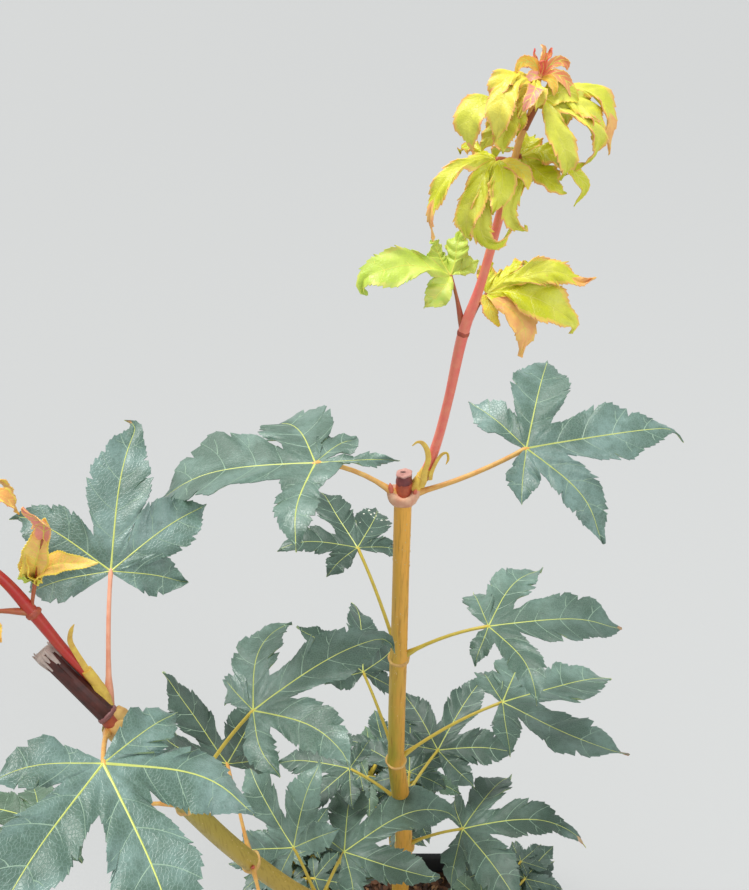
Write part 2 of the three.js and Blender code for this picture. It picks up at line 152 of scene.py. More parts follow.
def shader(name, base, roughness, specular=0.5, sheen=0.0):
    """A material with its Principled shader, whose even values are set on its own sockets."""
    material = bpy.data.materials.new(name)
    material.use_nodes = True
    sockets = material.node_tree.nodes["Principled BSDF"].inputs
    sockets["Base Color"].default_value = base
    sockets["Roughness"].default_value = roughness
    sockets["Specular IOR Level"].default_value = specular
    sockets["Sheen Weight"].default_value = sheen
    sockets["Sheen Roughness"].default_value = SHEEN_ROUGHNESS
    material.diffuse_color = base
    return material


def set_input(material, name, output):
    """Links an output to the named socket of the material's shader."""
    tree = material.node_tree
    tree.links.new(output, tree.nodes["Principled BSDF"].inputs[name])


def add_node(material, kind, inputs, **settings):
    """A new node. Each of its inputs is a value or the output of another node."""
    tree = material.node_tree
    node = tree.nodes.new("ShaderNode" + kind)
    for name, setting in settings.items():
        setattr(node, name, setting)
    for name, value in inputs.items():
        if isinstance(value, bpy.types.NodeSocket):
            tree.links.new(value, node.inputs[name])
        else:
            node.inputs[name].default_value = value
    return node


def place(material, stretch=(1, 1, 1)):
    """The output that gives a point's place on the object, stretched along the axes."""
    where = add_node(material, "TexCoord", {}).outputs["Object"]
    return add_node(material, "Mapping", {"Vector": where, "Scale": stretch}).outputs["Vector"]


def noise(material, scale, detail, stretch=(1, 1, 1)):
    inputs = {"Vector": place(material, stretch), "Scale": scale, "Detail": detail,
              "Roughness": NOISE_ROUGHNESS}
    return add_node(material, "TexNoise", inputs).outputs["Fac"]


def network(material, scale, width):
    """Thin lines between cells of the given scale: 1 on the lines and 0 inside the cells."""
    inputs = {"Vector": place(material), "Scale": scale}
    cells = add_node(material, "TexVoronoi", inputs, feature="DISTANCE_TO_EDGE")
    return ramp(material, cells.outputs["Distance"], (0, width), (1, 0))


def ramp(material, value, source, target):
    """The value, brought from the source's range into the target's."""
    inputs = {"Value": value, "From Min": source[0], "From Max": source[1],
              "To Min": target[0], "To Max": target[1]}
    return add_node(material, "MapRange", inputs).outputs["Result"]


def mix_colour(material, share, first, second):
    """Mixes two colours, of which each is a plain colour or another mix's output."""
    inputs = {"Factor": share, MIX_FIRST: first, MIX_SECOND: second}
    return add_node(material, "Mix", inputs, data_type="RGBA").outputs[MIX_RESULT]


def set_roughness(material, value, low, high):
    set_input(material, "Roughness", ramp(material, value, (0.3, 0.7), (low, high)))


def set_bump(material, *layers):
    """Bump from several heights, of which each is an output, a strength and a depth in mm."""
    inputs = {}
    for value, strength, depth in layers:
        inputs.update({"Height": value, "Strength": strength, "Distance": depth * MM})
        inputs["Normal"] = add_node(material, "Bump", inputs).outputs["Normal"]
    set_input(material, "Normal", inputs["Normal"])


def leaf_material(name, main, second, roughness=0.46, specular=0.5, sheen=0.0, net=0.22):
    """Blade mottled in two tones over large areas, partly its own colour and partly painted sheen where the
    sky's reflection would lie; fine dark speckles and a fine raised network of veins.
    """
    material = shader(name, main, roughness, specular, sheen)
    # The lighter tone of these large blotches is in part painted sheen, a reflection of the sky laid into the
    # colour
    sheen_patches = noise(material, 48, 3)
    speckles = noise(material, 420, 4)
    lines = network(material, 900, 0.12)
    sheen_patched = mix_colour(material, ramp(material, sheen_patches, (0.4, 0.58), (0, 1)), main, second)
    specked = ramp(material, speckles, (0.45, 0.7), (0, 0.4))
    mottled = mix_colour(material, specked, sheen_patched, scaled(second, 0.7))
    faint = ramp(material, lines, (0, 1), (0, net))
    set_input(material, "Base Color", mix_colour(material, faint, mottled, scaled(main, 1.45, 0.02)))
    set_roughness(material, sheen_patches, roughness - 0.08, roughness + 0.08)
    set_bump(material, (lines, 0.4, 0.14), (speckles, 0.3, 0.16), (sheen_patches, 0.25, 0.9))
    return material


def stalk_material(name, main, second, roughness=0.42):
    """Smooth young skin with faint streaks along it."""
    material = shader(name, main, roughness)
    streaks = ramp(material, noise(material, 300, 3), (0.3, 0.7), (0, 1))
    set_input(material, "Base Color", mix_colour(material, streaks, main, second))
    set_bump(material, (noise(material, 900, 2), 0.2, 0.1))
    return material


def bark_material(name, left, right, upper, dark, seam, reach, heights):
    """Bark that turns from one colour to another across the stem and towards its top."""
    material = shader(name, left, 0.5)
    streaks = noise(material, 900, 5, (1, 1, 0.07))
    grain = noise(material, 260, 4, (1, 1, 0.25))
    parts = add_node(material, "SeparateXYZ", {"Vector": place(material)}).outputs
    sideways = ramp(material, parts["X"], ((seam - reach) * MM, (seam + reach) * MM), (0, 1))
    wander = add_node(material, "Math", {0: grain, 1: 1.3, 2: sideways}, operation="MULTIPLY_ADD")
    side = mix_colour(material, ramp(material, wander.outputs[0], (0.7, 1.5), (0, 1)), left, right)
    low, high = ((SOIL + height) * MM for height in heights)
    rising = ramp(material, parts["Z"], (low, high), (0, 0.85))
    risen = mix_colour(material, rising, side, upper)
    streaked = mix_colour(material, ramp(material, streaks, (0.52, 0.7), (0, 0.55)), risen, dark)
    set_input(material, "Base Color", streaked)
    set_roughness(material, streaks, 0.42, 0.6)
    set_bump(material, (streaks, 0.45, 0.25), (grain, 0.3, 0.3))
    return material


def tones(make, prefix, rows):
    """Materials by name. Each row: name, two colours and the maker's further values."""
    return {name: make(f"{prefix}_{name}", tint(*main), tint(*second), *more)
            for name, main, second, *more in rows}


# Grown blades. The tones differ in part as the leaves themselves do. The lightest two tones are also painted
# sheen: they are lighter for the leaves that face up to the sky, as if the sky's reflection lay on them
LEAF_TONES = tones(leaf_material, "blade", [
    ("silver", (116, 143, 134), (78, 105, 90), 0.36, 0.6, 0.1),
    ("blue", (105, 131, 118), (73, 99, 83), 0.38, 0.6, 0.08),
    ("mid", (88, 113, 99), (60, 84, 68), 0.38, 0.6, 0.06),
    ("green", (90, 115, 93), (66, 90, 68)),
    ("deep", (78, 101, 88), (53, 76, 62), 0.4, 0.6),
])
UNDERSIDE = leaf_material("blade_underside", tint(140, 162, 118), tint(150, 168, 124), 0.6, 0.3, net=0.2)
DRY_TIP = leaf_material("blade_dry_tip", tint(198, 166, 138), tint(158, 118, 92), 0.7, 0.3, net=0.1)
MAIN_VEIN = stalk_material("main_vein", tint(210, 217, 118), tint(196, 206, 108))
FINE_VEIN = stalk_material("fine_vein", tint(150, 176, 154), tint(132, 158, 134))
FLECK = stalk_material("pale_fleck", tint(238, 238, 226), tint(222, 220, 204), 0.8)
STALKS = tones(stalk_material, "stalk", [
    ("gold", (226, 182, 102), (214, 150, 74)),
    ("yellow", (204, 182, 72), (190, 168, 64)),
    ("pink", (238, 174, 142), (226, 150, 118)),
    ("red", (178, 84, 62), (170, 106, 60)),
])
# The last value is how clearly the network of veins shows
YOUNG_TONES = {name: leaf_material(f"young_{name}", tint(*main), tint(*second), 0.42, net=net)
               for name, main, second, net in [
                   ("lime", (204, 208, 30), (222, 222, 84), 0.12),
                   ("yellow", (236, 212, 64), (228, 222, 92), 0.12),
                   ("fresh", (176, 202, 64), (202, 218, 98), 0.12),
                   ("amber", (244, 200, 66), (240, 170, 92), 0.15),
                   ("coral", (236, 134, 92), (242, 168, 108), 0.15),
                   ("pastel", (246, 222, 104), (250, 200, 116), 0.08),
                   ("rose", (244, 170, 148), (236, 148, 128), 0.1),
                   ("scarlet", (226, 92, 84), (238, 132, 96), 0.1)]}
YOUNG_EDGE = stalk_material("young_edge", tint(236, 214, 84), tint(230, 198, 78), 0.5)
YOUNG_BLUSH = stalk_material("young_blush", tint(244, 200, 106), tint(236, 164, 104), 0.5)
GREEN_EDGE = stalk_material("young_green_edge", tint(176, 204, 84), tint(206, 202, 96), 0.5)
YOUNG_VEIN = stalk_material("young_vein", tint(228, 228, 104), tint(222, 214, 96))
TRUNK_BARK = bark_material(
    "trunk_bark", tint(170, 154, 44), tint(208, 152, 56), tint(238, 172, 68), tint(142, 106, 38),
    -4.5, 4, (230, 400))
SIDE_BARK = bark_material(
    "side_bark", tint(190, 154, 62), tint(170, 138, 54), tint(158, 144, 58), tint(128, 104, 40),
    -20, 60, (120, 280))
SHOOT_SKIN = stalk_material("shoot_red", tint(228, 106, 96), tint(228, 136, 108), 0.38)
# The skin of the shoots' tips is lighter than its own colour: painted light that makes up for the shade of
# the young leaves round them
LIGHTENED_SHOOT_TIP = stalk_material("shoot_tip", tint(240, 190, 108), tint(232, 164, 100), 0.42)
SCAR = stalk_material("node_scar", tint(222, 180, 146), tint(206, 146, 118), 0.7)
NODE_TAN = stalk_material("node_tan", tint(216, 182, 108), tint(194, 146, 84), 0.7)
BUD = stalk_material("bud_skin", tint(196, 84, 70), tint(214, 122, 92), 0.5)
BUD_SCALE = stalk_material("bud_scale", tint(230, 198, 84), tint(206, 162, 74), 0.5)
PORE = stalk_material("bark_pore", tint(222, 196, 132), tint(202, 172, 112), 0.8)
SIDE_SKIN = stalk_material("side_shoot_red", tint(182, 38, 38), tint(174, 66, 40), 0.36)
STUB_SKIN = stalk_material("stub_skin", tint(132, 62, 60), tint(98, 44, 46), 0.5)
STUB_FOOT = stalk_material("stub_foot_skin", tint(184, 92, 54), tint(150, 58, 46), 0.5)
CUT_WOOD = stalk_material("cut_wood", tint(196, 150, 138), tint(156, 106, 98), 0.8)
STUB_RING = stalk_material("stub_ring_skin", tint(158, 108, 108), tint(120, 66, 62), 0.5)
STUB_BARK = stalk_material("stub_bark", tint(90, 38, 28), tint(54, 24, 18), 0.55)
DRY_WOOD = stalk_material("dry_wood", tint(200, 184, 174), tint(160, 142, 132), 0.85)
PITH = shader("pith", tint(60, 34, 30), 0.8)


# Building blocks

class Shapes:
    """Many small shapes that become one piece. A face's mark picks its material in the piece."""

    def __init__(self, name, materials, slot):
        self.name = name
        self.materials = materials
        self.slot = slot
        self.nodes = set()
        self.points = []
        self.faces = []
        self.marks = []
        self.count = 0

    def add(self, points, faces, marks=0):
        faces = np.asarray(faces)
        self.points.append(np.asarray(points, float))
        self.faces.append(faces + self.count)
        self.marks.append(np.full(len(faces), marks) if np.isscalar(marks) else np.asarray(marks))
        self.count += len(points)


pieces = {}


def shapes(name, materials, slot, *nodes):
    """The named piece's shapes, which stand for these nodes of the part too."""
    group = pieces.setdefault(name, Shapes(name, materials, slot))
    group.nodes.update(nodes)
    return group


# Faces that meet at more degrees than this keep a sharp edge
SHARP_ANGLE = 50


def make_piece(group):
    """Turns the group into an object. A face whose corner repeats is a triangle."""
    points = np.concatenate(group.points) * MM
    faces = np.concatenate(group.faces)
    marks = np.concatenate(group.marks)
    repeated = faces == np.roll(faces, -1, axis=1)
    corners = np.where(repeated.any(axis=1), 3, 4)
    keep = ~repeated
    loops = faces[keep]
    mesh = bpy.data.meshes.new(group.name)
    mesh.vertices.add(len(points))
    mesh.vertices.foreach_set("co", points.ravel())
    mesh.loops.add(len(loops))
    mesh.loops.foreach_set("vertex_index", loops)
    mesh.polygons.add(len(faces))
    mesh.polygons.foreach_set("loop_start", np.concatenate([[0], np.cumsum(corners)[:-1]]))
    mesh.polygons.foreach_set("material_index", marks)
    mesh.update(calc_edges=True)
    mesh.validate()
    mesh.shade_smooth()
    mesh.set_sharp_from_angle(angle=math.radians(SHARP_ANGLE))
    for material in group.materials:
        mesh.materials.append(material)
    piece = bpy.data.objects.new(group.name, mesh)
    bpy.context.scene.collection.objects.link(piece)
    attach(piece, "root")
    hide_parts(*sorted(group.nodes))


def smooth(value, low=0.0, high=1.0):
    share = np.clip((np.asarray(value, float) - low) / (high - low), 0, 1)
    return share * share * (3 - 2 * share)


def curve(points, shares):
    """Points at the given shares of a smooth curve through evenly timed points."""
    points = np.asarray(points, float)
    padded = np.vstack([2 * points[0] - points[1], points, 2 * points[-1] - points[-2]])
    timed = np.clip(np.asarray(shares, float), 0, 1) * (len(points) - 1)
    index = np.minimum(timed.astype(int), len(points) - 2)
    t = (timed - index)[:, None]
    before, start, end, after = (padded[index + step] for step in range(4))
    leaving = 0.5 * (end - before)
    arriving = 0.5 * (after - start)
    return ((2 * start - 2 * end + leaving + arriving) * t**3
            + (3 * end - 3 * start - 2 * leaving - arriving) * t**2 + leaving * t + start)


def unit(rows):
    return rows / np.maximum(np.linalg.norm(rows, axis=-1, keepdims=True), 1e-9)


def carried_frames(path, first=None):
    """Directions along a path and two square to it, carried along without twist."""
    along = unit(np.gradient(path, axis=0))
    if first is None:
        first = vec(1, 0, 0) if abs(along[0][0]) < 0.8 else vec(0, 1, 0)
    side = []
    for direction in along:
        first = unit(first - first @ direction * direction)
        side.append(first)
    side = np.array(side)
    return along, side, np.cross(along, side)


def grid_faces(rows, columns):
    """Faces between rows of points that each close on themselves."""
    row = np.arange(rows - 1)[:, None] * columns
    column = np.arange(columns)[None, :]
    after = (column + 1) % columns
    corners = (row + column, row + after, row + after + columns, row + column + columns)
    return np.stack(corners, axis=-1).reshape(-1, 4)


def capped(rings):
    """Points and faces of a closed skin through rings of points, with a fan at both ends."""
    rows, columns = rings.shape[:2]
    points = np.vstack([rings.reshape(-1, 3), rings[0].mean(axis=0), rings[-1].mean(axis=0)])
    start, end = rows * columns, rows * columns + 1
    index = np.arange(columns)
    after = (index + 1) % columns
    last = (rows - 1) * columns
    foot = np.stack([np.full(columns, start), after, index, index], axis=1)
    top = np.stack([np.full(columns, end), last + index, last + after, last + after], axis=1)
    return points, np.vstack([grid_faces(rows, columns), foot, top])


def tube(path, radii, sides, relief=None, flat=1.0, first=None):
    """A round or flattened limb along a path. Relief adds to the radius by turn and distance."""
    path = np.asarray(path, float)
    _, side, across = carried_frames(path, first)
    turns = np.arange(sides) * 2 * math.pi / sides
    distance = np.concatenate([[0], np.cumsum(np.linalg.norm(np.diff(path, axis=0), axis=1))])
    spread = np.broadcast_to(np.asarray(radii, float)[:, None], (len(path), sides))
    if relief is not None:
        spread = spread + relief(turns[None, :], distance[:, None])
    out = np.cos(turns)[None, :, None] * side[:, None, :]
    out = out + flat * np.sin(turns)[None, :, None] * across[:, None, :]
    return capped(path[:, None, :] + spread[..., None] * out)


def heading(azimuth, rise):
    azimuth, rise = math.radians(azimuth), math.radians(rise)
    level = math.cos(rise)
    return vec(math.cos(azimuth) * level, math.sin(azimuth) * level, math.sin(rise))


def turned(facing, dip, roll):
    """Rotation by roll about X, then dip about Y, then facing about Z, as a matrix."""
    c, b, a = (math.radians(angle) for angle in (facing, dip, roll))
    about_z = np.array([[math.cos(c), -math.sin(c), 0], [math.sin(c), math.cos(c), 0], [0, 0, 1]])
    about_y = np.array([[math.cos(b), 0, math.sin(b)], [0, 1, 0], [-math.sin(b), 0, math.cos(b)]])
    about_x = np.array([[1, 0, 0], [0, math.cos(a), -math.sin(a)], [0, math.sin(a), math.cos(a)]])
    return about_z @ about_y @ about_x


# Leaves

# The most that a lobe on a line of its own turns its face to the viewer, in radians
MOST_TWIST = 1.2


class Lobe:
    """One lobe's midrib, bent down by droop, and the flat outline's map onto it.

    A leaf's row may shape each lobe by name: turn, hook and tip bend it sideways in degrees, from
    its foot, along its length and near its end; curl bends it down towards its end, in radians;
    twist turns it on its midrib, in degrees; length, slim, fold and droop change the rest.
    """

    def __init__(self, which, row, chance):
        self.rank = abs(which)
        size = row["size"]
        more = row["lobes"].get(which, {})
        drawn = chance.uniform(-1, 1, 5)
        self.taper = more.get("taper", 0)
        if "line" in more:
            self.follow(more, row)
            return
        lean = row["sway"] if which == 0 else math.copysign(LOBE_TURNS[self.rank], which) * row["spread"]
        self.turn = math.radians(lean + more.get("turn", 0) + LOBE_CHANCE["turn"] * drawn[0])
        self.length = size * LOBE_LENGTHS[self.rank] * more.get("length", 1)
        slim = more.get("slim", 1 + LOBE_CHANCE["slim"] * drawn[1])
        self.half_width = LOBE_HALF_WIDTHS[self.rank] * row["slim"] * slim
        self.fold = row["fold"] + more.get("fold", LOBE_CHANCE["fold"] * drawn[2])
        bend = max(row["droop"] * (0.6 + 0.4 * LOBE_LENGTHS[self.rank]), 0.01) + more.get("droop", 0)
        curl = more.get("curl", USUAL_CURL + LOBE_CHANCE["curl"] * drawn[3])
        pitch = bend * LOBE_PLACES + curl * smooth(LOBE_PLACES, 0.5, 1.0)
        hook = more.get("hook", LOBE_CHANCE["hook"] * drawn[4]) * smooth(LOBE_PLACES, 0.25, 1.0)
        tip = more.get("tip", LOBE_CHANCE["tip"] * drawn[0]) * smooth(LOBE_PLACES, 0.82, 1.0)
        yaw = self.turn + np.radians(hook + tip)
        level = np.cos(pitch)
        step = np.stack([level * np.cos(yaw), level * np.sin(yaw), -np.sin(pitch)], axis=1)
        middle = (step[1:] + step[:-1]) / 2 * np.diff(LOBE_PLACES)[:, None] * self.length
        self.path = np.vstack([np.zeros(3), np.cumsum(middle, axis=0)])
        twist = math.radians(more.get("twist", 0)) * smooth(LOBE_PLACES, 0.3, 1.0)
        left = np.stack([-np.sin(yaw), np.cos(yaw), np.zeros_like(yaw)], axis=1)
        normal = np.cross(step, left)
        self.left = left * np.cos(twist)[:, None] + normal * np.sin(twist)[:, None]
        self.normal = np.cross(step, self.left)

    def follow(self, more, row):
        """Lays the lobe along a line given in the leaf's own frame, with its width in mm."""
        dense = curve(more["line"], np.linspace(0, 1, 200))
        run = np.concatenate([[0], np.cumsum(np.linalg.norm(np.diff(dense, axis=0), axis=1))])
        self.length = run[-1]
        wanted = LOBE_PLACES * self.length
        path = np.stack([np.interp(wanted, run, dense[:, axis]) for axis in range(3)], axis=1)
        path += unit(dense[-1] - dense[-6]) * np.maximum(wanted - self.length, 0)[:, None]
        start = path[10] - path[0]
        self.turn = math.atan2(start[1], start[0])
        self.half_width = more["width"] / 2 / self.length
        self.fold = row["fold"]
        along, left, normal = carried_frames(path, unit(np.cross(UP, start)))
        middle = len(path) // 2
        shown = math.atan2(-np.dot(more["view"], left[middle]), np.dot(more["view"], normal[middle]))
        shown = max(-MOST_TWIST, min(MOST_TWIST, shown * more["lean"]))
        twist = shown * smooth(LOBE_PLACES, 0.08, 0.5)
        self.path = path
        self.left = left * np.cos(twist)[:, None] + normal * np.sin(twist)[:, None]
        self.normal = np.cross(along, self.left)

    def at(self, along, beside):
        """Points and normals for places in the flat lobe: along its midrib and beside it."""
        share = np.clip(along / self.length, 0, LOBE_PLACES[-1])
        point, left, normal = (
            np.stack([np.interp(share, LOBE_PLACES, rows[:, axis]) for axis in range(3)], axis=-1)
            for rows in (self.path, self.left, self.normal))
        beside = np.asarray(beside)[..., None]
        rise = np.abs(beside) * math.sin(self.fold)
        return point + left * beside * math.cos(self.fold) + normal * rise, normal


# How finely a leaf is made: teeth on half a lobe by rank, rows in the palm, columns in half a lobe
GRAINS = {
    "fine": {"teeth": (20, 16, 10), "palm": 6, "columns": 6, "vein_gap": 4},
    "middle": {"teeth": (11, 10, 6), "palm": 4, "columns": 4, "vein_gap": 3},
    "small": {"teeth": (8, 6, 4), "palm": 3, "columns": 3, "vein_gap": 2},
}


def lobules(teeth, chance):
    """For each tooth of a margin: how far along its lobule it is at foot and tip, the lobule's
    step, and whether it is the big tooth that ends the lobule."""
    ends = np.array(LOBULE_ENDS) + chance.uniform(-0.04, 0.04, len(LOBULE_ENDS))
    ends = np.unique(np.clip(np.round(ends * teeth).astype(int), 1, teeth - 1))
    steps = np.resize(np.array(LOBULE_STEPS) * chance.uniform(0.5, 1.3, len(LOBULE_STEPS)), len(ends))
    bounds = np.concatenate([[0], ends, [teeth]])
    number = np.arange(teeth + 1)
    which = np.minimum(np.searchsorted(bounds, number, side="right") - 1, len(ends))
    start, span = bounds[which], bounds[which + 1] - bounds[which]
    step = np.append(steps, 0.0)[which]
    big = np.isin(number + 1, ends)
    return (number - start) / span, (number + TOOTH_TIP - start) / span, step, big


def half_lobe(lobe, side, neighbour, row, grain, chance):
    """One half of a lobe as rows of points from the midrib to the margin, along its side veins."""
    size, rank = row["size"], lobe.rank
    teeth, palm, columns = grain["teeth"][rank], grain["palm"], grain["columns"]
    count = palm + 2 * teeth
    if neighbour is None:
        reach, half = BASAL_NOTCH * math.sqrt(2) * lobe.length, math.pi / 4
    else:
        reach = SINUS_REACH[max(rank, neighbour.rank) - 1] * size
        half = abs(neighbour.turn - lobe.turn) / 2
    notch = vec(reach * math.cos(half), reach * math.sin(half)) / lobe.length
    index = np.arange(count + 1)
    palm_share = np.minimum(index / palm, 1)
    tooth = np.maximum(index - palm, 0) / 2
    pointed = tooth % 1 > 0
    share = ((np.floor(tooth) + TOOTH_TIP * pointed) / teeth) ** MARGIN_SPREAD
    palm_end = PALM_REACH[rank] * size / lobe.length
    midrib = palm_end * palm_share + (1 - palm_end) * share**MIDRIB_SPREAD

    beyond = [(u, v * lobe.half_width * (1 - lobe.taper * smooth(u, 0.35, 0.8)))
              for u, v in LOBE_SHOULDERS if u > notch[0] + 0.04]
    outline = curve([tuple(notch), *beyond, (1.0, 0.0)], np.linspace(0, 1, 160))
    margin_u = notch[0] + (1 - notch[0]) * share
    width = np.interp(margin_u, outline[:, 0], outline[:, 1])
    number = np.floor(tooth).astype(int)
    foot_place, tip_place, step, big = (values[number] for values in lobules(teeth, chance))
    is_tip = pointed & (index > palm)
    is_valley = (index > palm) & ~is_tip & (index < count)
    along_lobule = np.where(is_tip, tip_place, foot_place)
    bulge = np.sin(0.84 * math.pi * np.clip(along_lobule, 0, 1) ** 0.7)
    width = width * (1 - row["lobulation"] * step * (1 - bulge))
    vary = chance.uniform(0.5, 1.4, teeth + 1)
    depth = row["serration"] * np.where(big, BIG_TOOTH, SMALL_TOOTH) * vary[number]
    depth = depth * np.clip(width / lobe.half_width, 0, 1) ** 0.5
    width = width + np.where(is_tip, TIP_OUT * depth, 0) - np.where(is_valley, VALLEY_IN * depth, 0)
    margin_u = margin_u + np.where(is_tip, depth, 0)
    edge_along = np.where(index < palm, notch[0] * palm_share, margin_u) * lobe.length
    edge_beside = np.where(index < palm, notch[1] * palm_share, width) * lobe.length
    edge_along[count], edge_beside[count] = lobe.length, 0

    across = 1 - (1 - np.arange(columns + 1) / columns)[None, :] ** row["margin"]
    base = midrib[:, None] * lobe.length
    run = edge_along[:, None] - base
    along = base + run * across - ROW_SWEEP * run * np.sin(math.pi * across)
    beside = edge_beside[:, None] * across
    point, normal = lobe.at(along, side * beside)
    if neighbour is not None:
        angle, radius = np.arctan2(beside, along), np.hypot(along, beside)
        far = 2 * half - angle
        other, other_normal = neighbour.at(radius * np.cos(far), -side * radius * np.sin(far))
        apart = np.hypot(edge_along - notch[0] * lobe.length, edge_beside - notch[1] * lobe.length)
        fade = np.where(index <= palm, 1.0, 1 - smooth(apart / (NOTCH_FADE * size)))
        share_other = 0.5 * smooth(across) * fade[:, None]
        point = point * (1 - share_other[..., None]) + other * share_other[..., None]
        normal = unit(normal * (1 - share_other[..., None]) + other_normal * share_other[..., None])

    gap = grain["vein_gap"]
    vein_rows = np.flatnonzero(is_tip & (number % gap == gap // 2) & (number < 0.9 * teeth))
    phase = np.interp(index, np.concatenate([[palm * 0.5], vein_rows, [count]]),
                      np.arange(len(vein_rows) + 2)) % 1
    puff = row["quilt"] * size * np.sin(math.pi * phase)[:, None] * np.sin(math.pi * across**0.8)
    puff = puff * (1 - 0.5 * share)[:, None]
    free = smooth((index - palm) / 5)[:, None]
    swing = np.sin(2 * math.pi * (1.3 * share + chance.random()))
    swing = swing + 0.6 * np.sin(2 * math.pi * (3.6 * share + chance.random()))
    wave = row["flutter"] * size * across**2 * free * swing[:, None]
    point = point + normal * (puff + wave)[..., None]
    return point, vein_rows


def blade(row, grain, chance):
    """The upper face of a leaf in its own frame: its points and faces, each face's column, the
    midribs and the side veins, as lists of point numbers."""
    lobes = [Lobe(which, row, chance) for which in (-2, -1, 0, 1, 2)]
    palm, columns = grain["palm"], grain["columns"]
    total = 1
    grids, values = [], []
    midribs, side_veins = [], []
    sinus = {}
    for number, lobe in enumerate(lobes):
        count = palm + 2 * grain["teeth"][lobe.rank]
        midrib = np.concatenate([[0], total + np.arange(count)])
        total += count
        midribs.append(midrib)
        for side in (1, -1):
            beyond = number + side
            neighbour = lobes[beyond] if 0 <= beyond < len(lobes) else None
            point, vein_rows = half_lobe(lobe, side, neighbour, row, grain, chance)
            grid = np.zeros((count + 1, columns + 1), int)
            inner = total + np.arange((count - 1) * columns).reshape(count - 1, columns)
            grid[1:count, 1:] = inner
            total += inner.size
            gap = (min(number, beyond), max(number, beyond))
            if gap in sinus:
                grid[1:palm + 1, columns] = sinus[gap]
            elif neighbour is not None:
                sinus[gap] = grid[1:palm + 1, columns].copy()
            grid[:, 0] = midrib
            grid[count, :] = midrib[count]
            grids.append((grid, side))
            values.append(point)
            half = columns // 2
            for at in vein_rows:
                side_veins.append((grid[at], lobe.rank))
                if columns > 3 and chance.random() < FORKED_VEINS:
                    back = at - np.arange(columns - half)
                    side_veins.append((grid[back, np.arange(half, columns)], lobe.rank + 1))
    points = np.zeros((total, 3))
    for (grid, _), point in zip(grids, values):
        points[grid] = point
    points[0] = 0
    faces, marks, places = [], [], []
    for half, (grid, side) in enumerate(grids):
        corners = (grid[:-1, :-1], grid[1:, :-1], grid[1:, 1:], grid[:-1, 1:])
        face = np.stack(corners if side > 0 else corners[::-1], axis=-1).reshape(-1, 4)
        column = np.broadcast_to(np.arange(columns), grid[1:, 1:].shape).ravel()
        faces.append(face)
        marks.append(column)
        reach = np.broadcast_to(np.arange(1, len(grid))[:, None] / len(grid), grid[1:, 1:].shape).ravel()
        places.append(np.stack([np.full(len(reach), half // 2 - 2), reach], axis=1))
    faces, marks, places = np.concatenate(faces), np.concatenate(marks), np.concatenate(places)
    distinct = np.array([len(set(face)) > 2 for face in faces.tolist()])
    return points, faces[distinct], marks[distinct], places[distinct], midribs, side_veins


def normals_of_faces(points, faces):
    first = points[faces[:, 2]] - points[faces[:, 0]]
    second = points[faces[:, 3]] - points[faces[:, 1]]
    return np.cross(first, second)


def normals_of(points, faces):
    flat = normals_of_faces(points, faces)
    total = np.zeros_like(points)
    for corner in range(4):
        np.add.at(total, faces[:, corner], flat)
    return unit(total)


def shell(points, normals, faces, thickness):
    """The face and its underside, joined round the rim, with the numbers of its three zones."""
    count = len(points)
    starts, ends = faces.ravel(), np.roll(faces, -1, axis=1).ravel()
    real = starts != ends
    starts, ends = starts[real], ends[real]
    alone = ~np.isin(starts * count + ends, ends * count + starts)
    starts, ends = starts[alone], ends[alone]
    rim = np.stack([starts, starts + count, ends + count, ends], axis=1)
    both = np.vstack([points, points - normals * thickness])
    zones = np.concatenate([np.zeros(len(faces), int), np.ones(len(faces), int), np.full(len(rim), 2)])
    return both, np.vstack([faces, faces[:, ::-1] + count, rim]), zones


def eased(line):
    """The line with its corners rounded off."""
    line = line.copy()
    for _ in range(2):
        line[1:-1] = (line[:-2] + 2 * line[1:-1] + line[2:]) / 4
    return line


def ridge(points, normals, half_widths, rise, sink):
    """A raised vein along points of a surface: it stands out above by rise and below by sink."""
    along = unit(np.gradient(points, axis=0))
    side = unit(np.cross(normals, along))
    left = points + side * half_widths[:, None]
    right = points - side * half_widths[:, None]
    top = points + normals * (rise * half_widths)[:, None]
    bottom = points - normals * (sink + 0.7 * half_widths)[:, None]
    return capped(np.stack([left, bottom, right, top], axis=1))


LEAF_DEFAULTS = {
    "droop": 0.3, "fold": 0.15, "spread": 1, "sway": 0, "slim": 1, "arch": 0.07, "stalk": 1,
    "foot": (0, 0, 0), "serration": 0.0125, "lobulation": 0.85, "quilt": 0.007, "flutter": 0.02,
    "margin": 1, "lobes": {}, "dry": {}, "blush": {}, "flecks": None,
}


# Near a blade's foot a face that tilts up by less than this shows its other skin
CREASE_REACH, CREASE_TILT = 0.5, 0.1


def young_blades(tone, node):
    edges = [GREEN_EDGE, GREEN_EDGE] if tone == "fresh" else [YOUNG_EDGE, YOUNG_BLUSH]
    return shapes(f"young_blades_{tone}", [YOUNG_TONES[tone], *edges], "young_leaf", node)


def flecks(row, points, normals, faces, places, node):
    """Pale dried specks on one lobe of a grown leaf. The row's flecks are the lobe and a number."""
    if row["flecks"] is None:
        return
    which, number = row["flecks"]
    chance = np.random.default_rng(77)
    inside = np.flatnonzero((places[:, 0] == which) & (places[:, 1] > 0.35) & (places[:, 1] < 0.9))
    group = shapes("pale_flecks", [FLECK], "leaf", node)
    for face in chance.choice(inside, number):
        at, up = points[faces[face]].mean(axis=0), normals[faces[face, 0]]
        side = unit(np.cross(up, vec(1, 0.2, 0)))
        across = np.cross(up, side)
        turns = np.arange(7) * 2 * math.pi / 7
        reach = chance.uniform(0.25, 0.75) * chance.uniform(0.5, 1.3, (7, 1))
        outline = side * np.cos(turns)[:, None] * reach + across * np.sin(turns)[:, None] * reach
        group.add(*capped(np.stack([at + outline * 1.1 - up * 0.1, at + outline + up * 0.08,
                                    at + outline * 0.5 + up * 0.2])))


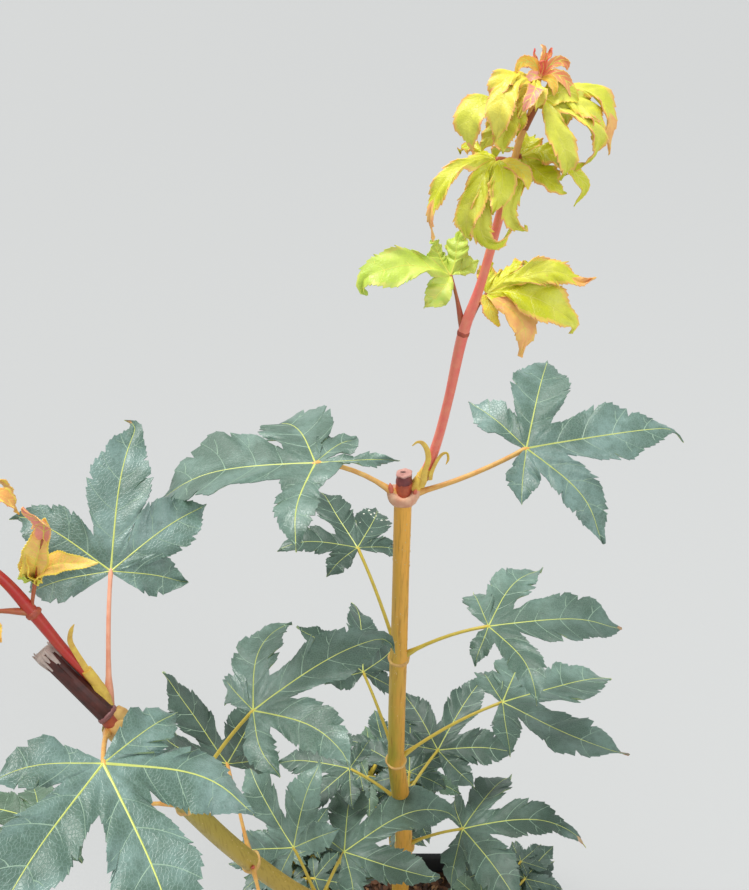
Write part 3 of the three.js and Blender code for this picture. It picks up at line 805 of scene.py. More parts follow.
# Where a stalk's points stand from its foot to its blade, and how its radius swells on the way
STALK_PLACES = np.array([0, 0.04, 0.1, 0.2, 0.32, 0.45, 0.58, 0.7, 0.82, 0.92, 0.98])
STALK_SWELL = [2.2, 2.0, 1.45, 1.05, 0.9, 1.1]


def petiole(row, foot, join, sunk, group):
    """A stalk that swells where it clasps the stem and again under the blade."""
    shares, reach = STALK_PLACES, row["petiole"]
    straight = foot + (join - foot) * shares[:, None]
    bowed = straight + UP * (row["arch"] * reach * 4 * shares * (1 - shares))[:, None]
    swell = np.interp(shares * reach, [0, 5, 8, 12, 0.9 * reach, reach], STALK_SWELL)
    path = np.vstack([bowed, sunk])
    radii = np.concatenate([swell, [0.5]]) * PETIOLE_RADIUS * row["stalk"]
    group.add(*tube(path, radii, 10))


def leaf(node, root, row, grain, tone, stalk, chance, young=False, part=""):
    """A whole leaf: its blade, veins and stalk join the pieces of their kind and part."""
    row = {**LEAF_DEFAULTS, **row}
    grain = GRAINS[grain]
    foot = root + vec(*row["foot"])
    join = foot + heading(row["azimuth"], row["rise"]) * row["petiole"]
    turn = turned(row["facing"], row["dip"], row["roll"])
    local, faces, columns, places, midribs, side_veins = blade(row, grain, chance)
    points = local @ turn.T + join
    normals = normals_of(points, faces)
    skin, skin_faces, zones = shell(points, normals, faces, BLADE_THICKNESS)
    size = row["size"]
    if young:
        group = young_blades(tone, node)
        outermost = grain["columns"] - 1
        band = np.where(columns == outermost, 2, np.where(columns == outermost - 1, 1, 0))
        for which, start in row["blush"].items():
            band[(places[:, 0] == which) & (places[:, 1] > start)] = 2
        marks = np.concatenate([band, band, np.full(np.sum(zones == 2), 2)])
        main = fine = shapes("young_veins", [YOUNG_VEIN], "young_leaf", node)
        stalks = shapes("young_stalks", [STALKS[stalk]], "red_shoot", node)
    else:
        group = shapes(f"blades_{tone}{part}", [LEAF_TONES[tone], UNDERSIDE, DRY_TIP], "leaf", node)
        marks = (zones == 1).astype(int)
        count = len(faces)
        tilt = normals_of_faces(points, faces) @ turn[:, 2]
        creased = (places[:, 1] < CREASE_REACH) & (tilt < CREASE_TILT)
        marks[:count][creased], marks[count:2 * count][creased] = 1, 0
        for which, start in row["dry"].items():
            withered = (places[:, 0] == which) & (places[:, 1] > start)
            marks[:2 * count][np.tile(withered, 2)] = 2
        flecks(row, points, normals, faces, places, node)
        main = shapes(f"main_veins_{tone}{part}", [MAIN_VEIN], "leaf", node)
        fine = shapes(f"fine_veins_{tone}{part}", [FINE_VEIN], "leaf", node)
        stalks = shapes(f"stalks_{stalk}{part}", [STALKS[stalk]], "leaf", node)
    group.add(skin, skin_faces, marks)
    for number, midrib in enumerate(midribs):
        strength = MIDRIB_STRENGTHS[abs(number - 2)]
        half_widths = size * MIDRIB_WIDTH * strength * (1 - 0.75 * np.linspace(0, 1, len(midrib)))
        main.add(*ridge(points[midrib], normals[midrib], half_widths, 0.75, BLADE_THICKNESS))
    for row_points, rank in side_veins:
        half_widths = size * VEIN_WIDTHS[rank] * np.linspace(1, 0.45, len(row_points))
        fine.add(*ridge(eased(points[row_points]), normals[row_points], half_widths, 0.55, 0.1))
    sunk = join + turn @ vec(size * 0.02, 0, -0.2)
    petiole(row, foot, join, sunk, stalks)


def strap(node, tone, line, width, facing, edge=2, fold=0.3, base=0.4, saw=0.08):
    """One narrow lobe of a young leaf along a line from node A, folded on its midrib, with a fine
    saw edge, of which edge picks the colour."""
    line = line_from_a(*line)
    rough = curve(line, np.linspace(0, 1, 30))
    length = np.linalg.norm(np.diff(rough, axis=0), axis=1).sum()
    teeth = max(6, int(length / SAW_TOOTH))
    shares = np.linspace(0, 1, 2 * teeth + 1)
    path = curve(line, shares)
    first = np.cross(facing, path[1] - path[0])
    along, side, normal = carried_frames(path, unit(first))
    form = np.interp(shares, STRAP_PLACES, [base, 0.55 + 0.4 * base, 0.98, 1.0, 0.74, 0.36, 0.04])
    tips = np.arange(len(shares)) % 2 == 1
    vary = young_chance.uniform(0.4, 1.5, len(shares))
    uneven = 0.1 * np.sin(2 * math.pi * (2.6 * shares + young_chance.random()))
    reach = form * width / 2 * (1 + uneven + np.where(tips, saw * vary, -0.02))
    ahead = np.where(tips, 0.45 * length / len(shares), 0)
    across, columns = STRAP_COLUMNS, len(STRAP_COLUMNS)
    beside = reach[:, None] * across
    lift = np.abs(beside) * math.sin(fold)
    waves = np.sin(2 * math.pi * (2.3 * shares + young_chance.random())) * 0.09 * width
    lift = lift + waves[:, None] * across**2
    points = (path[:, None] + side[:, None] * (beside * math.cos(fold))[..., None]
              + normal[:, None] * lift[..., None]
              + along[:, None] * (ahead[:, None] * np.abs(across) ** 4)[..., None])
    row = np.arange(len(shares) - 1)[:, None] * columns
    column = np.arange(columns - 1)[None, :]
    corners = (row + column, row + column + columns, row + column + columns + 1, row + column + 1)
    faces = np.stack(corners, axis=-1).reshape(-1, 4)
    points = points.reshape(-1, 3)
    normals = normals_of(points, faces)
    skin, skin_faces, zones = shell(points, normals, faces, YOUNG_THICKNESS)
    marks = np.tile([edge, *[0] * (columns - 3), edge], len(shares) - 1)
    marks = np.concatenate([marks, marks, np.full(np.sum(zones == 2), edge)])
    young_blades(tone, node).add(skin, skin_faces, marks)
    middle = np.arange(len(shares)) * columns + columns // 2
    veins = shapes("young_veins", [YOUNG_VEIN], "young_leaf", node)
    half_widths = np.linspace(0.34, 0.08, len(middle)) * min(1.0, width / 6)
    veins.add(*ridge(points[middle], normals[middle], half_widths, 0.7, 0.2))
    for start in range(5, len(shares) - 8, 5):
        for direction in (1, -1):
            step = np.arange(4)
            chain = (start + 2 * step) * columns + columns // 2 + direction * step
            chain = chain[(start + 2 * step) < len(shares)]
            veins.add(*ridge(points[chain], normals[chain], np.linspace(0.14, 0.06, len(chain)), 0.6, 0.1))


# Stems

def on_trunk(height):
    x = np.interp(height, TRUNK_RUN[:, 0], TRUNK_RUN[:, 1])
    return vec(x, 0, SOIL + height)


def trunk_line(heights):
    """The main stem's middle line and radii at the heights."""
    aside, radii = (np.interp(heights, TRUNK_RUN[:, 0], TRUNK_RUN[:, column]) for column in (1, 2))
    return np.stack([aside, np.zeros_like(heights), SOIL + heights], axis=1), radii


NODE_A = on_trunk(NODE_HEIGHTS["A"])


def from_a(x, y, z):
    return NODE_A + vec(x, y, z)


def line_from_a(*points):
    return [from_a(*point) for point in points]


SIDE_NODES = {
    "N2": from_a(-42, -44, -255),
    "N1": from_a(-73, -53, -193),
    "Nm": from_a(-93, -66, -120),
    "N0": from_a(-106, -83, -40),
}
SIDE_STUB_FOOT = SIDE_NODES["N0"] + vec(1.7, 0, 0.7)
SIDE_TIP = from_a(-126, -74, -13.6)
SIDE_STUB_RUN = SIDE_TIP - SIDE_STUB_FOOT
SIDE_POINTS = [on_trunk(NODE_HEIGHTS["fork"]) + vec(-2, -1, -2), *SIDE_NODES.values(), SIDE_TIP]
SIDE_RADII = [5, 4.7, 4.5, 4.2, 3.9]
# Shares of the side stem where its bark ends, where its pores end and where their radii end
SIDE_BARK_END, SIDE_PORES_END, SIDE_PORES_THIN = 0.795, 0.78, 0.81
LEADER_POINTS = line_from_a(
    (3.6, 0.6, -1), (8.8, 1, 8), (13, 0.5, 24), (16.5, 0, 45), (20.2, 0, 72), (25.3, 0, 92), (30, 0, 118))
LEADER_RADII = [2.4, 2.2, 1.9, 1.8, 2.1, 1.6, 1.5]
LEADER_NODE = LEADER_POINTS[4]
SHOOT_POINTS = [SIDE_NODES["N0"] + vec(0, 2, 3), *line_from_a(
    (-109, -77, -29), (-119, -74, -12), (-127, -71, 3), (-135, -69, 18), (-146, -68, 30))]
SHOOT_RADII = [1.75, 1.65, 1.75, 2.1, 1.7, 1.45]
SHOOT_NODE = SHOOT_POINTS[3]


def bark_relief(seed, depth):
    """Low ridges that run along the stem and wander round it."""
    chance, waves = np.random.default_rng(seed), 9
    turns = chance.integers(3, 15, waves)
    drift = chance.uniform(-0.06, 0.06, waves)
    swell = chance.uniform(0.02, 0.14, waves)
    phases = chance.uniform(0, 2 * math.pi, (2, waves))

    def relief(turn, distance):
        total = 0
        for number in range(waves):
            ridges = np.sin(turns[number] * turn + drift[number] * distance + phases[0, number])
            total = total + ridges * (0.6 + 0.4 * np.sin(swell[number] * distance + phases[1, number]))
        return depth * total / math.sqrt(waves)

    return relief


def add_tube(name, material, slot, node, path, radii, sides, relief=None, **form):
    shapes(name, [material], slot, node).add(*tube(path, radii, sides, relief, **form))


def trunk():
    """The main stem up to its stub, with its radii evened out."""
    path, radii = trunk_line(np.arange(0, BARK_END, BARK_STEP))
    weights = np.array([1, 2, 3, 2, 1]) / 9
    radii = np.convolve(np.pad(radii, 2, mode="edge"), weights, mode="valid")
    add_tube("trunk_bark", TRUNK_BARK, "bark", "trunk", path, radii, 44, bark_relief(2, 0.11))


def limb(name, material, slot, node, points, radii, steps, sides, seed, depth, end=1):
    """A limb through the points, as far as the end share. Its radii are spaced evenly."""
    shares = np.linspace(0, end, steps)
    sizes = np.interp(shares, np.linspace(0, end, len(radii)), radii)
    add_tube(name, material, slot, node, curve(points, shares), sizes, sides, bark_relief(seed, depth))


trunk()
limb("side_stem_bark", SIDE_BARK, "bark", "side_stem", SIDE_POINTS, SIDE_RADII, 270, 40, 3, 0.1,
     SIDE_BARK_END)
limb("side_stub", STUB_BARK, "bark", "side_stem",
     [SIDE_STUB_FOOT + SIDE_STUB_RUN * share for share in (0.1, 0.5, 1)],
     [3.35, 3.2, 3.05, 3.0], 60, 40, 33, 0.25)
limb("leader_shoot", SHOOT_SKIN, "red_shoot", "leader", LEADER_POINTS, LEADER_RADII, 110, 24, 4, 0.03)
limb("side_shoot_skin", SIDE_SKIN, "red_shoot", "side_shoot", SHOOT_POINTS, SHOOT_RADII, 90, 24, 5, 0.03)


# Nodes, buds, stubs and pores

def lumpy(seed, depth):
    """Relief of soft lumps all round a short piece."""
    chance, waves = np.random.default_rng(seed), 5
    turns, phases = chance.integers(2, 8, waves), chance.uniform(0, 2 * math.pi, waves)
    rises = chance.uniform(0.3, 1.6, waves)

    def relief(turn, distance):
        total = sum(np.sin(turns[k] * turn + rises[k] * distance + phases[k]) for k in range(waves))
        return depth * total / math.sqrt(waves)

    return relief


# Radii from one end to the other, as shares of the widest
RING_PROFILE = np.array([0.78, 0.93, 1.02, 1.05, 1.03, 1.06, 1.02, 0.93, 0.78])
BUD_PLACES = np.array([0, 0.12, 0.3, 0.5, 0.7, 0.86, 0.96])
BUD_PROFILE = np.array([0.6, 0.9, 1.0, 0.92, 0.66, 0.34, 0.08])


def ring(name, material, node, at, along, radius, length, seed, depth, slot="bark"):
    """A lumpy band round a stem, whose ends sink into it."""
    shares = np.linspace(-0.5, 0.5, len(RING_PROFILE))
    path = at + unit(np.asarray(along, float)) * (shares * length)[:, None]
    add_tube(name, material, slot, node, path, radius * RING_PROFILE, 32, lumpy(seed, depth))


def bud(name, slot, node, foot, tip, radius):
    """A pointed bud."""
    path = foot + (tip - foot) * BUD_PLACES[:, None]
    add_tube(name, BUD, slot, node, path, radius * BUD_PROFILE, 12)


def ribbon(name, material, slot, node, line, widths, flat, first, steps=40):
    """A flattened strip along a line from node A, such as a bud scale that has grown long."""
    shares = np.linspace(0, 1, steps)
    half_widths = np.interp(shares, np.linspace(0, 1, len(widths)), widths) / 2
    add_tube(name, material, slot, node, curve(line_from_a(*line), shares), half_widths, 14,
             flat=flat, first=first)


def swollen(name, material, slot, node, points, places, radii, sides, relief=None, steps=24):
    """A short limb through the points, whose radii are those at the given places along it."""
    shares = np.linspace(0, 1, steps)
    add_tube(name, material, slot, node, curve(points, shares), np.interp(shares, places, radii),
             sides, relief)


def saddle(at, half_width, half_depth, low, high, lift):
    """The pale collar where two stalks clasp the stem. Its rim rises towards the stalks."""
    turns = np.arange(48) * 2 * math.pi / 48
    rings = []
    for share, reach in [(0, 0.8), (0.15, 0.93), (0.35, 1.0), (0.6, 1.04), (0.8, 1.03), (0.95, 0.95),
                         (1.0, 0.82), (0.9, 0.66)]:
        lumps = 1 + 0.03 * np.sin(5 * turns + 3 * share) + 0.02 * np.sin(11 * turns + 7 * share)
        height = low + (high - low) * share + lift * share * np.cos(turns) ** 2
        rings.append(np.stack([half_width * reach * lumps * np.cos(turns),
                               half_depth * reach * lumps * np.sin(turns), height], axis=1))
    shapes("node_scars", [SCAR], "bark", "trunk").add(*capped(at + np.array(rings)))


def trunk_stub():
    """The cut end of the main stem above node A, with the buds and scales beside it."""
    saddle(NODE_A, half_width=6.6, half_depth=5.5, low=-6, high=-0.8, lift=2.2)
    for name, skin, low, high, radii in [
            ("stub_foot", STUB_FOOT, -3.5, 4.3, [4.1, 3.65, 3.4, 3.3]),
            ("trunk_stub", STUB_SKIN, 3.6, 8.2, [3.2, 3.25, 3.05, 3.05])]:
        body = line_from_a((0.1, 0, low), (0.25, 0, (low + high) / 2), (0.3, 0, high))
        swollen(name, skin, "bark", "trunk", body, [0, 0.3, 0.65, 1], radii, 36, bark_relief(51, 0.16))
    lean = unit(vec(-0.12, 0.05, 1))
    rim = from_a(0.3, 0, 7.8) + lean * np.array([0, 0.4, 0.8, 1.1, 1.25])[:, None]
    add_tube("stub_cut", CUT_WOOD, "bark", "trunk", rim, [2.85, 3.2, 3.3, 3.15, 2.6], 40,
             lumpy(53, 0.16))
    ribbon("stub_pith", PITH, "bark", "trunk", [(-1.3, 0.5, 9), (0.1, 0.2, 9.1), (1.3, 0.3, 9)],
           [0.4, 0.9, 0.4], 0.4, vec(0, 1, 0), 12)
    bud("bud_skins", "bark", "trunk", from_a(-4.9, -2, 0.2), from_a(-5.6, -2.2, 5.6), 1.15)
    bud("bud_skins", "bark", "trunk", from_a(4.6, -3, 0.4), from_a(5.2, -3.6, 3.2), 0.85)
    ribbon("bud_scales", BUD_SCALE, "red_shoot", "leader",
           [(7.4, -1.4, 2.4), (8.2, -1.8, 5.8), (8.2, -2, 10.2), (9.6, -2, 16.5), (8.9, -2.4, 21.9),
            (6.9, -3, 25.7), (4.8, -3.6, 26.5), (2.9, -4, 25)],
           [2.4, 2.7, 2.6, 2.5, 2.2, 1.8, 1.3, 0.5], 0.3, vec(1, 0.2, 0))
    ribbon("bud_scales", BUD_SCALE, "red_shoot", "leader",
           [(11, -1, 6), (11.2, -1.6, 10.2), (12.9, -1.8, 15.6), (14.8, -2, 19.4), (16.8, -2.4, 20.4),
            (17.4, -2.8, 17.8), (16.6, -3, 15.3)],
           [1.6, 1.9, 1.7, 1.8, 1.9, 1.5, 0.4], 0.3, vec(1, 0.3, 0))
    swollen("bud_scales", BUD_SCALE, "red_shoot", "leader",
            line_from_a((4.4, 0.8, 0.4), (7.4, 1, 5.6), (10, 0.9, 11)),
            [0, 0.4, 0.8, 1], [2.7, 2.5, 2.3, 2.1], 24, lumpy(54, 0.08))
    ring("node_tans", NODE_TAN, "leader", from_a(8, 1, 6.2), vec(0.5, 0, 1), 2.6, 1.2, 55, 0.1,
         "red_shoot")


def side_stub():
    """The cut end of the side stem beyond N0, dry at its tip, with the scales beside it."""
    foot, along = SIDE_STUB_FOOT, unit(SIDE_STUB_RUN)
    for name, material, at, radius, length, seed, depth in [
            ("node_tans_side", NODE_TAN, foot - along * 2.6, 4.9, 6, 61, 0.25),
            ("node_tans_side", NODE_TAN, foot + along * 0.4 + vec(2.2, 1, 0.7), 3.1, 6.5, 62, 0.2),
            ("stub_collar", STUB_RING, foot + along * 3.6, 3.6, 2.6, 63, 0.1)]:
        ring(name, material, "side_stem", at, along, radius, length, seed, depth)
    shares = np.linspace(0, 1, 24)
    add_tube("stub_foot_side", STUB_FOOT, "bark", "side_stem",
             foot + along * np.interp(shares, [0, 1], [-3, 3.2])[:, None],
             np.interp(shares, [0, 0.4, 0.8, 1], [4.4, 4.15, 3.6, 3.3]), 36, lumpy(67, 0.18))
    chance = np.random.default_rng(64)
    end = SIDE_TIP - along * 1.5
    _, side, across = carried_frames(np.array([end, end + along]))
    add_tube("dry_wood", DRY_WOOD, "bark", "side_stem",
             end + along * np.array([0, 1.2, 2.2, 3.0])[:, None], [3.0, 3.3, 3.2, 2.3], 30,
             lumpy(65, 0.35))
    for turn in np.linspace(0, 2 * math.pi, 15)[:-1] + chance.uniform(-0.2, 0.2, 14):
        out = math.cos(turn) * side[0] + math.sin(turn) * across[0]
        length, spread = chance.uniform(1.6, 4.2), chance.uniform(-0.6, 0.9)
        strip = [end - along * chance.uniform(0.5, 5) + out * 2.95, end + out * 3.1,
                 end + along * length + out * (3.0 + spread)]
        swollen("dry_wood", DRY_WOOD, "bark", "side_stem", strip, [0, 0.6, 1], [0.3, 0.8, 0.15], 8,
                steps=8)
    ribbon("bud_scales", BUD_SCALE, "red_shoot", "side_shoot",
           [(-108, -79.5, -31), (-112.2, -76.2, -19.6), (-114.8, -75, -11.7), (-115.4, -75, -6.2),
            (-113.9, -75, -0.9), (-112.8, -74, 0.9)],
           [2.2, 2.1, 1.9, 1.8, 1.6, 0.4], 0.3, vec(1, 0.5, 0))
    swollen("bud_scales", BUD_SCALE, "red_shoot", "side_shoot",
            [SHOOT_POINTS[0], *line_from_a((-108.4, -77.4, -30), (-112.4, -76, -20))],
            [0, 0.5, 1], [2.0, 1.85, 1.82], 24, lumpy(66, 0.1))


def pores(name, node, path, radii, number, seed):
    """Small pale pores that stand out of the bark, each longer along the stem."""
    chance = np.random.default_rng(seed)
    along, side, across = carried_frames(path)
    group = shapes(name, [PORE], "bark", node)
    faces = np.array([[0, 2, 4, 4], [2, 1, 4, 4], [1, 3, 4, 4], [3, 0, 4, 4],
                      [2, 0, 5, 5], [1, 2, 5, 5], [3, 1, 5, 5], [0, 3, 5, 5]])
    for _ in range(number):
        row = chance.integers(2, len(path) - 2)
        turn = chance.uniform(0, 2 * math.pi)
        out = math.cos(turn) * side[row] + math.sin(turn) * across[row]
        beside = np.cross(along[row], out)
        at = path[row] + out * radii[row]
        length, width = chance.uniform(0.35, 0.8), chance.uniform(0.18, 0.32)
        group.add([at + beside * width, at - beside * width, at + along[row] * length,
                   at - along[row] * length, at + out * 0.16, at - out * 0.3], faces)


def stem_details():
    trunk_stub()
    side_stub()
    for number, (name, height) in enumerate(NODE_HEIGHTS.items()):
        if name != "A":
            radius = np.interp(height, TRUNK_RUN[:, 0], TRUNK_RUN[:, 2])
            ring("node_tans", NODE_TAN, "trunk", on_trunk(height), UP, radius + 0.15, 2.6, 70 + number, 0.16)
    for number, name in enumerate(("N2", "N1", "Nm")):
        ring("node_tans_side", NODE_TAN, "side_stem", SIDE_NODES[name],
             SIDE_POINTS[number + 2] - SIDE_POINTS[number], SIDE_RADII[number + 1] + 0.5, 3.2,
             80 + number, 0.2)
    ring("node_ring_leader", STUB_FOOT, "leader", LEADER_NODE, LEADER_POINTS[5] - LEADER_POINTS[3],
         2.2, 2.4, 90, 0.12, "red_shoot")
    ring("node_ring_shoot", STUB_FOOT, "side_shoot", SHOOT_NODE, SHOOT_POINTS[4] - SHOOT_POINTS[2],
         2.5, 2.6, 91, 0.14, "red_shoot")
    pores("trunk_pores", "trunk", *trunk_line(np.linspace(4, 398, 400)), 330, 92)
    shares = np.linspace(0.02, SIDE_PORES_END, 300)
    sizes = np.interp(shares, np.linspace(0, SIDE_PORES_THIN, len(SIDE_RADII)), SIDE_RADII)
    pores("side_pores", "side_stem", curve(SIDE_POINTS, shares), sizes, 200, 93)


stem_details()


# Grown leaves, named after their node. Of each stalk: azimuth, rise and length. Of each blade: size,
# the way it faces, dip and roll. The lobes are numbered from the middle one, 0, leftwards up and
# rightwards down.
leaf_chance = np.random.default_rng(7)
LEAF_NODES = {**{name: on_trunk(height) for name, height in NODE_HEIGHTS.items()}, **SIDE_NODES}
NODES_WITHOUT_BUDS = ("A", "N0")
# An axil's bud: how far out and up it starts, its rise and its length
BUD_OUT, BUD_UP, BUD_RISE, BUD_LENGTH = 4.2, 2.6, 62, 3.6


def leaf_row(reach, sizes, **more):
    """A leaf's row from its stalk's azimuth, rise and length and its blade's size and turns."""
    names = ("azimuth", "rise", "petiole", "size", "facing", "dip", "roll")
    return {**dict(zip(names, (*reach, *sizes))), **more}


def single(name, reach, sizes, tone, skin, **more):
    """A grown leaf, with the bud in its axil where its node has buds."""
    node = name.split("_")[0]
    root = LEAF_NODES[node]
    leaf(f"leaf_{name}", root, leaf_row(reach, sizes, **more), "fine", tone, skin, leaf_chance)
    if node not in NODES_WITHOUT_BUDS:
        azimuth = reach[0]
        foot = root + vec(*more.get("foot", (0, 0, 0))) + heading(azimuth, 0) * BUD_OUT + UP * BUD_UP
        tip = foot + heading(azimuth, BUD_RISE) * BUD_LENGTH
        bud("axil_buds", "leaf", f"leaf_{name}", foot, tip, 1.0)


single("A_right", (2, 25, 54), (63, 9, -5, 20), "silver", "gold",
        foot=(0, 0, -3), arch=-0.05, stalk=1.3, droop=0.15, spread=1.1, lobes={
            0: {"length": 1.12, "turn": 2, "hook": 2, "tip": -80, "curl": 0.15, "taper": 0.4, "slim": 1.15},
            -1: {"turn": 7, "hook": -34, "curl": 0.5, "length": 0.98, "slim": 0.9, "taper": 0.15},
            1: {"slim": 0.98, "hook": -4, "curl": 0.4, "length": 1.15},
            2: {"slim": 0.95, "hook": 12, "length": 1.08},
            -2: {"slim": 1.05, "turn": 4, "hook": 6, "length": 0.8}})
single("A_left", (191, 34, 43), (67, 188, 5, 4), "blue", "gold", dry={0: 0.93},
        foot=(0, 0, -5.2), arch=0.1, stalk=1.2, droop=0.15, spread=1.2, lobes={
            0: {"length": 1.05, "turn": -12, "hook": 28, "curl": 0.4, "twist": 10, "slim": 1.75},
            1: {"turn": 0, "hook": 18, "curl": 0.6, "fold": -0.15, "length": 0.85, "slim": 0.86},
            -1: {"slim": 1.3, "turn": -14, "hook": 34, "curl": 0.5, "length": 1.08},
            -2: {"slim": 1.4, "hook": -20, "length": 0.8},
            2: {"turn": 46, "twist": 80, "length": 1.0, "slim": 0.4}})
single("B_left", (120, 45, 57), (51, 125, -9, 10), "deep", "yellow", flecks=(-1, 14),
        droop=0.15, sway=-10, lobes={
            1: {"turn": -6, "hook": 26, "curl": 0.3}, -1: {"slim": 1.1, "hook": 8},
            2: {"hook": 14}, -2: {"hook": -14, "curl": 0.5}})
single("B_right", (-2, 30, 48), (60, -6, -12, -5), "blue", "yellow", droop=0.1, dry={0: 0.94}, lobes={
            0: {"length": 1.06, "turn": 6, "hook": -12, "tip": 40, "curl": 0.5, "slim": 1.4},
            1: {"turn": 12, "hook": -30, "curl": 0.3, "length": 1.16},
            -1: {"turn": 6, "hook": -30, "curl": 0.9, "slim": 0.8},
            2: {"curl": 0.6, "slim": 0.9, "length": 1.1}, -2: {"curl": 0.8, "slim": 0.95, "length": 0.75}})
single("C_left", (122, 48, 51), (56, 103, -12, 35), "deep", "yellow", droop=0.1, sway=-15)
single("C_right", (10, 33, 68), (74, 12, 2, -18), "blue", "yellow", droop=0.1, sway=12,
        dry={-1: 0.9}, lobes={
            0: {"curl": 0.2, "hook": 4, "slim": 1.2},
            -1: {"length": 1.18, "turn": 3, "hook": 22, "tip": 25},
            2: {"slim": 0.85, "hook": -8, "turn": -16}, -2: {"slim": 0.8, "hook": 6}})
single("D_right", (53, 11, 38), (59, 57, -22, 0), "deep", "yellow", droop=0.4)
single("D_left", (165, 35, 38), (46, 166, 0, 0), "deep", "yellow")
single("E_right", (-9, 40, 44), (70, -1, -23, -13), "mid", "yellow", dry={0: 0.9},
        droop=0.4, sway=-8, lobes={
            0: {"turn": 12, "hook": -24, "tip": -35, "curl": 0.6, "length": 1.08, "taper": 0.45},
            -1: {"hook": -6, "curl": 0.3}, 1: {"hook": 6, "curl": 0.3},
            2: {"twist": -60, "slim": 0.8, "curl": 0.3}, -2: {"slim": 0.9, "hook": -10}})
single("E_back", (84, 38, 42), (50, 88, -8, 0), "deep", "yellow")
single("N2_right", (31, 67, 42), (67, 31, 0, -15), "mid", "yellow",
        droop=0.1, sway=-8, lobes={
            0: {"length": 1.1, "turn": 12, "hook": -42, "tip": -50, "curl": 0.4},
            1: {"hook": -6}, -1: {"turn": 4, "hook": 12, "tip": 30},
            2: {"slim": 0.7, "twist": 40}, -2: {"slim": 0.85}})
single("N2_left", (137, 63, 40), (60, 132, -21, -55), "blue", "yellow", lobes={
            0: {"hook": 4}, -1: {"hook": -8}, 1: {"curl": 0.3}})
single("N1_up", (113, 52, 50), (58, 147, -51, -70), "deep", "gold", lobes={
            0: {"hook": 24, "curl": 0.2}, -1: {"curl": 0.5}})
single("N1_front", (-70, 10, 45), (55, -70, 10, 0), "green", "gold")
single("Nm_right", (29, 50, 54), (65, 26, -18, -3), "blue", "yellow", lobes={
            0: {"length": 1.12, "turn": 9, "hook": -12, "tip": -110, "curl": 0.2},
            1: {"turn": 14, "hook": -46, "curl": 0.3, "length": 1.1},
            -1: {"turn": 12, "hook": -34, "tip": -30, "curl": 0.4},
            2: {"length": 0.9, "twist": -50}, -2: {"slim": 0.8, "length": 1.0, "turn": 4, "hook": 34}})
single("Nm_left", (205, 26, 60), (50, 220, -8, 4), "green", "gold", droop=0.4)
single("N0_up", (89, 55, 49), (56, 94, -44, 8), "silver", "pink",
        foot=(-1.2, 5, 2), droop=0.4, sway=-8, dry={0: 0.93}, lobes={
            0: {"length": 1.18, "turn": 3, "hook": -14, "tip": 90, "curl": 0.3, "slim": 1.05, "taper": 0.4},
            1: {"turn": -7, "hook": 16, "tip": 40, "curl": 0.2},
            -1: {"slim": 1.1, "turn": 7, "hook": -12}, 2: {"turn": -8, "hook": 16, "length": 1.12},
            -2: {"turn": 8, "hook": -14}})
single("N0_front", (-70, 37, 36), (67, -52, 12, -15), "silver", "gold",
        foot=(-1, -1, -3.5), droop=0.1, spread=1.05, lobes={
            0: {"curl": 0.5}, 1: {"turn": -4, "hook": -34, "curl": 0.4, "fold": -0.5},
            -1: {"hook": 8, "curl": 0.4}, -2: {"turn": -8, "hook": 22}, 2: {"turn": -6, "hook": -8}})

# Half-grown leaves on the two red shoots
young_chance = np.random.default_rng(9)
YOUNG_LOOK = {"serration": 0.013, "quilt": 0.014, "flutter": 0.03, "lobulation": 0.22, "margin": 1.5}
TO_VIEWER = vec(0, -0.8, 0.6)
# A lobe whose line runs further back than its stalk's end by this much doesn't turn to the viewer
BEHIND = 2.5


def young_leaf(node, root, tone, row):
    leaf(node, root, {**YOUNG_LOOK, **row}, "fine", tone, "red", young_chance, young=True)


def lined_leaf(node, root, turns, size, tone, blush, lobes, show=0.75):
    """A young leaf whose lobes follow lines measured from node A. All start where the stalk ends.

    Of each lobe: width, then the points of its line after the first. Show is how far the lobes in
    front turn to the viewer.
    """
    join = from_a(*lobes["join"])
    turn = turned(*turns)
    reach = join - root
    length = float(np.linalg.norm(reach))
    shaped = {}
    for which, (width, *line) in lobes.items():
        if which != "join":
            points = np.array([join, *line_from_a(*line)])
            lean = show if points[:, 1].mean() < join[1] + BEHIND else 0
            shaped[which] = {"line": (points - join) @ turn, "width": width, "lean": lean,
                             "view": TO_VIEWER @ turn}
    azimuth = math.degrees(math.atan2(reach[1], reach[0]))
    rise = math.degrees(math.asin(reach[2] / length))
    young_leaf(node, root, tone, leaf_row((azimuth, rise, length), (size, *turns), lobes=shaped,
                                          blush=blush, stalk=YOUNG_STALK))


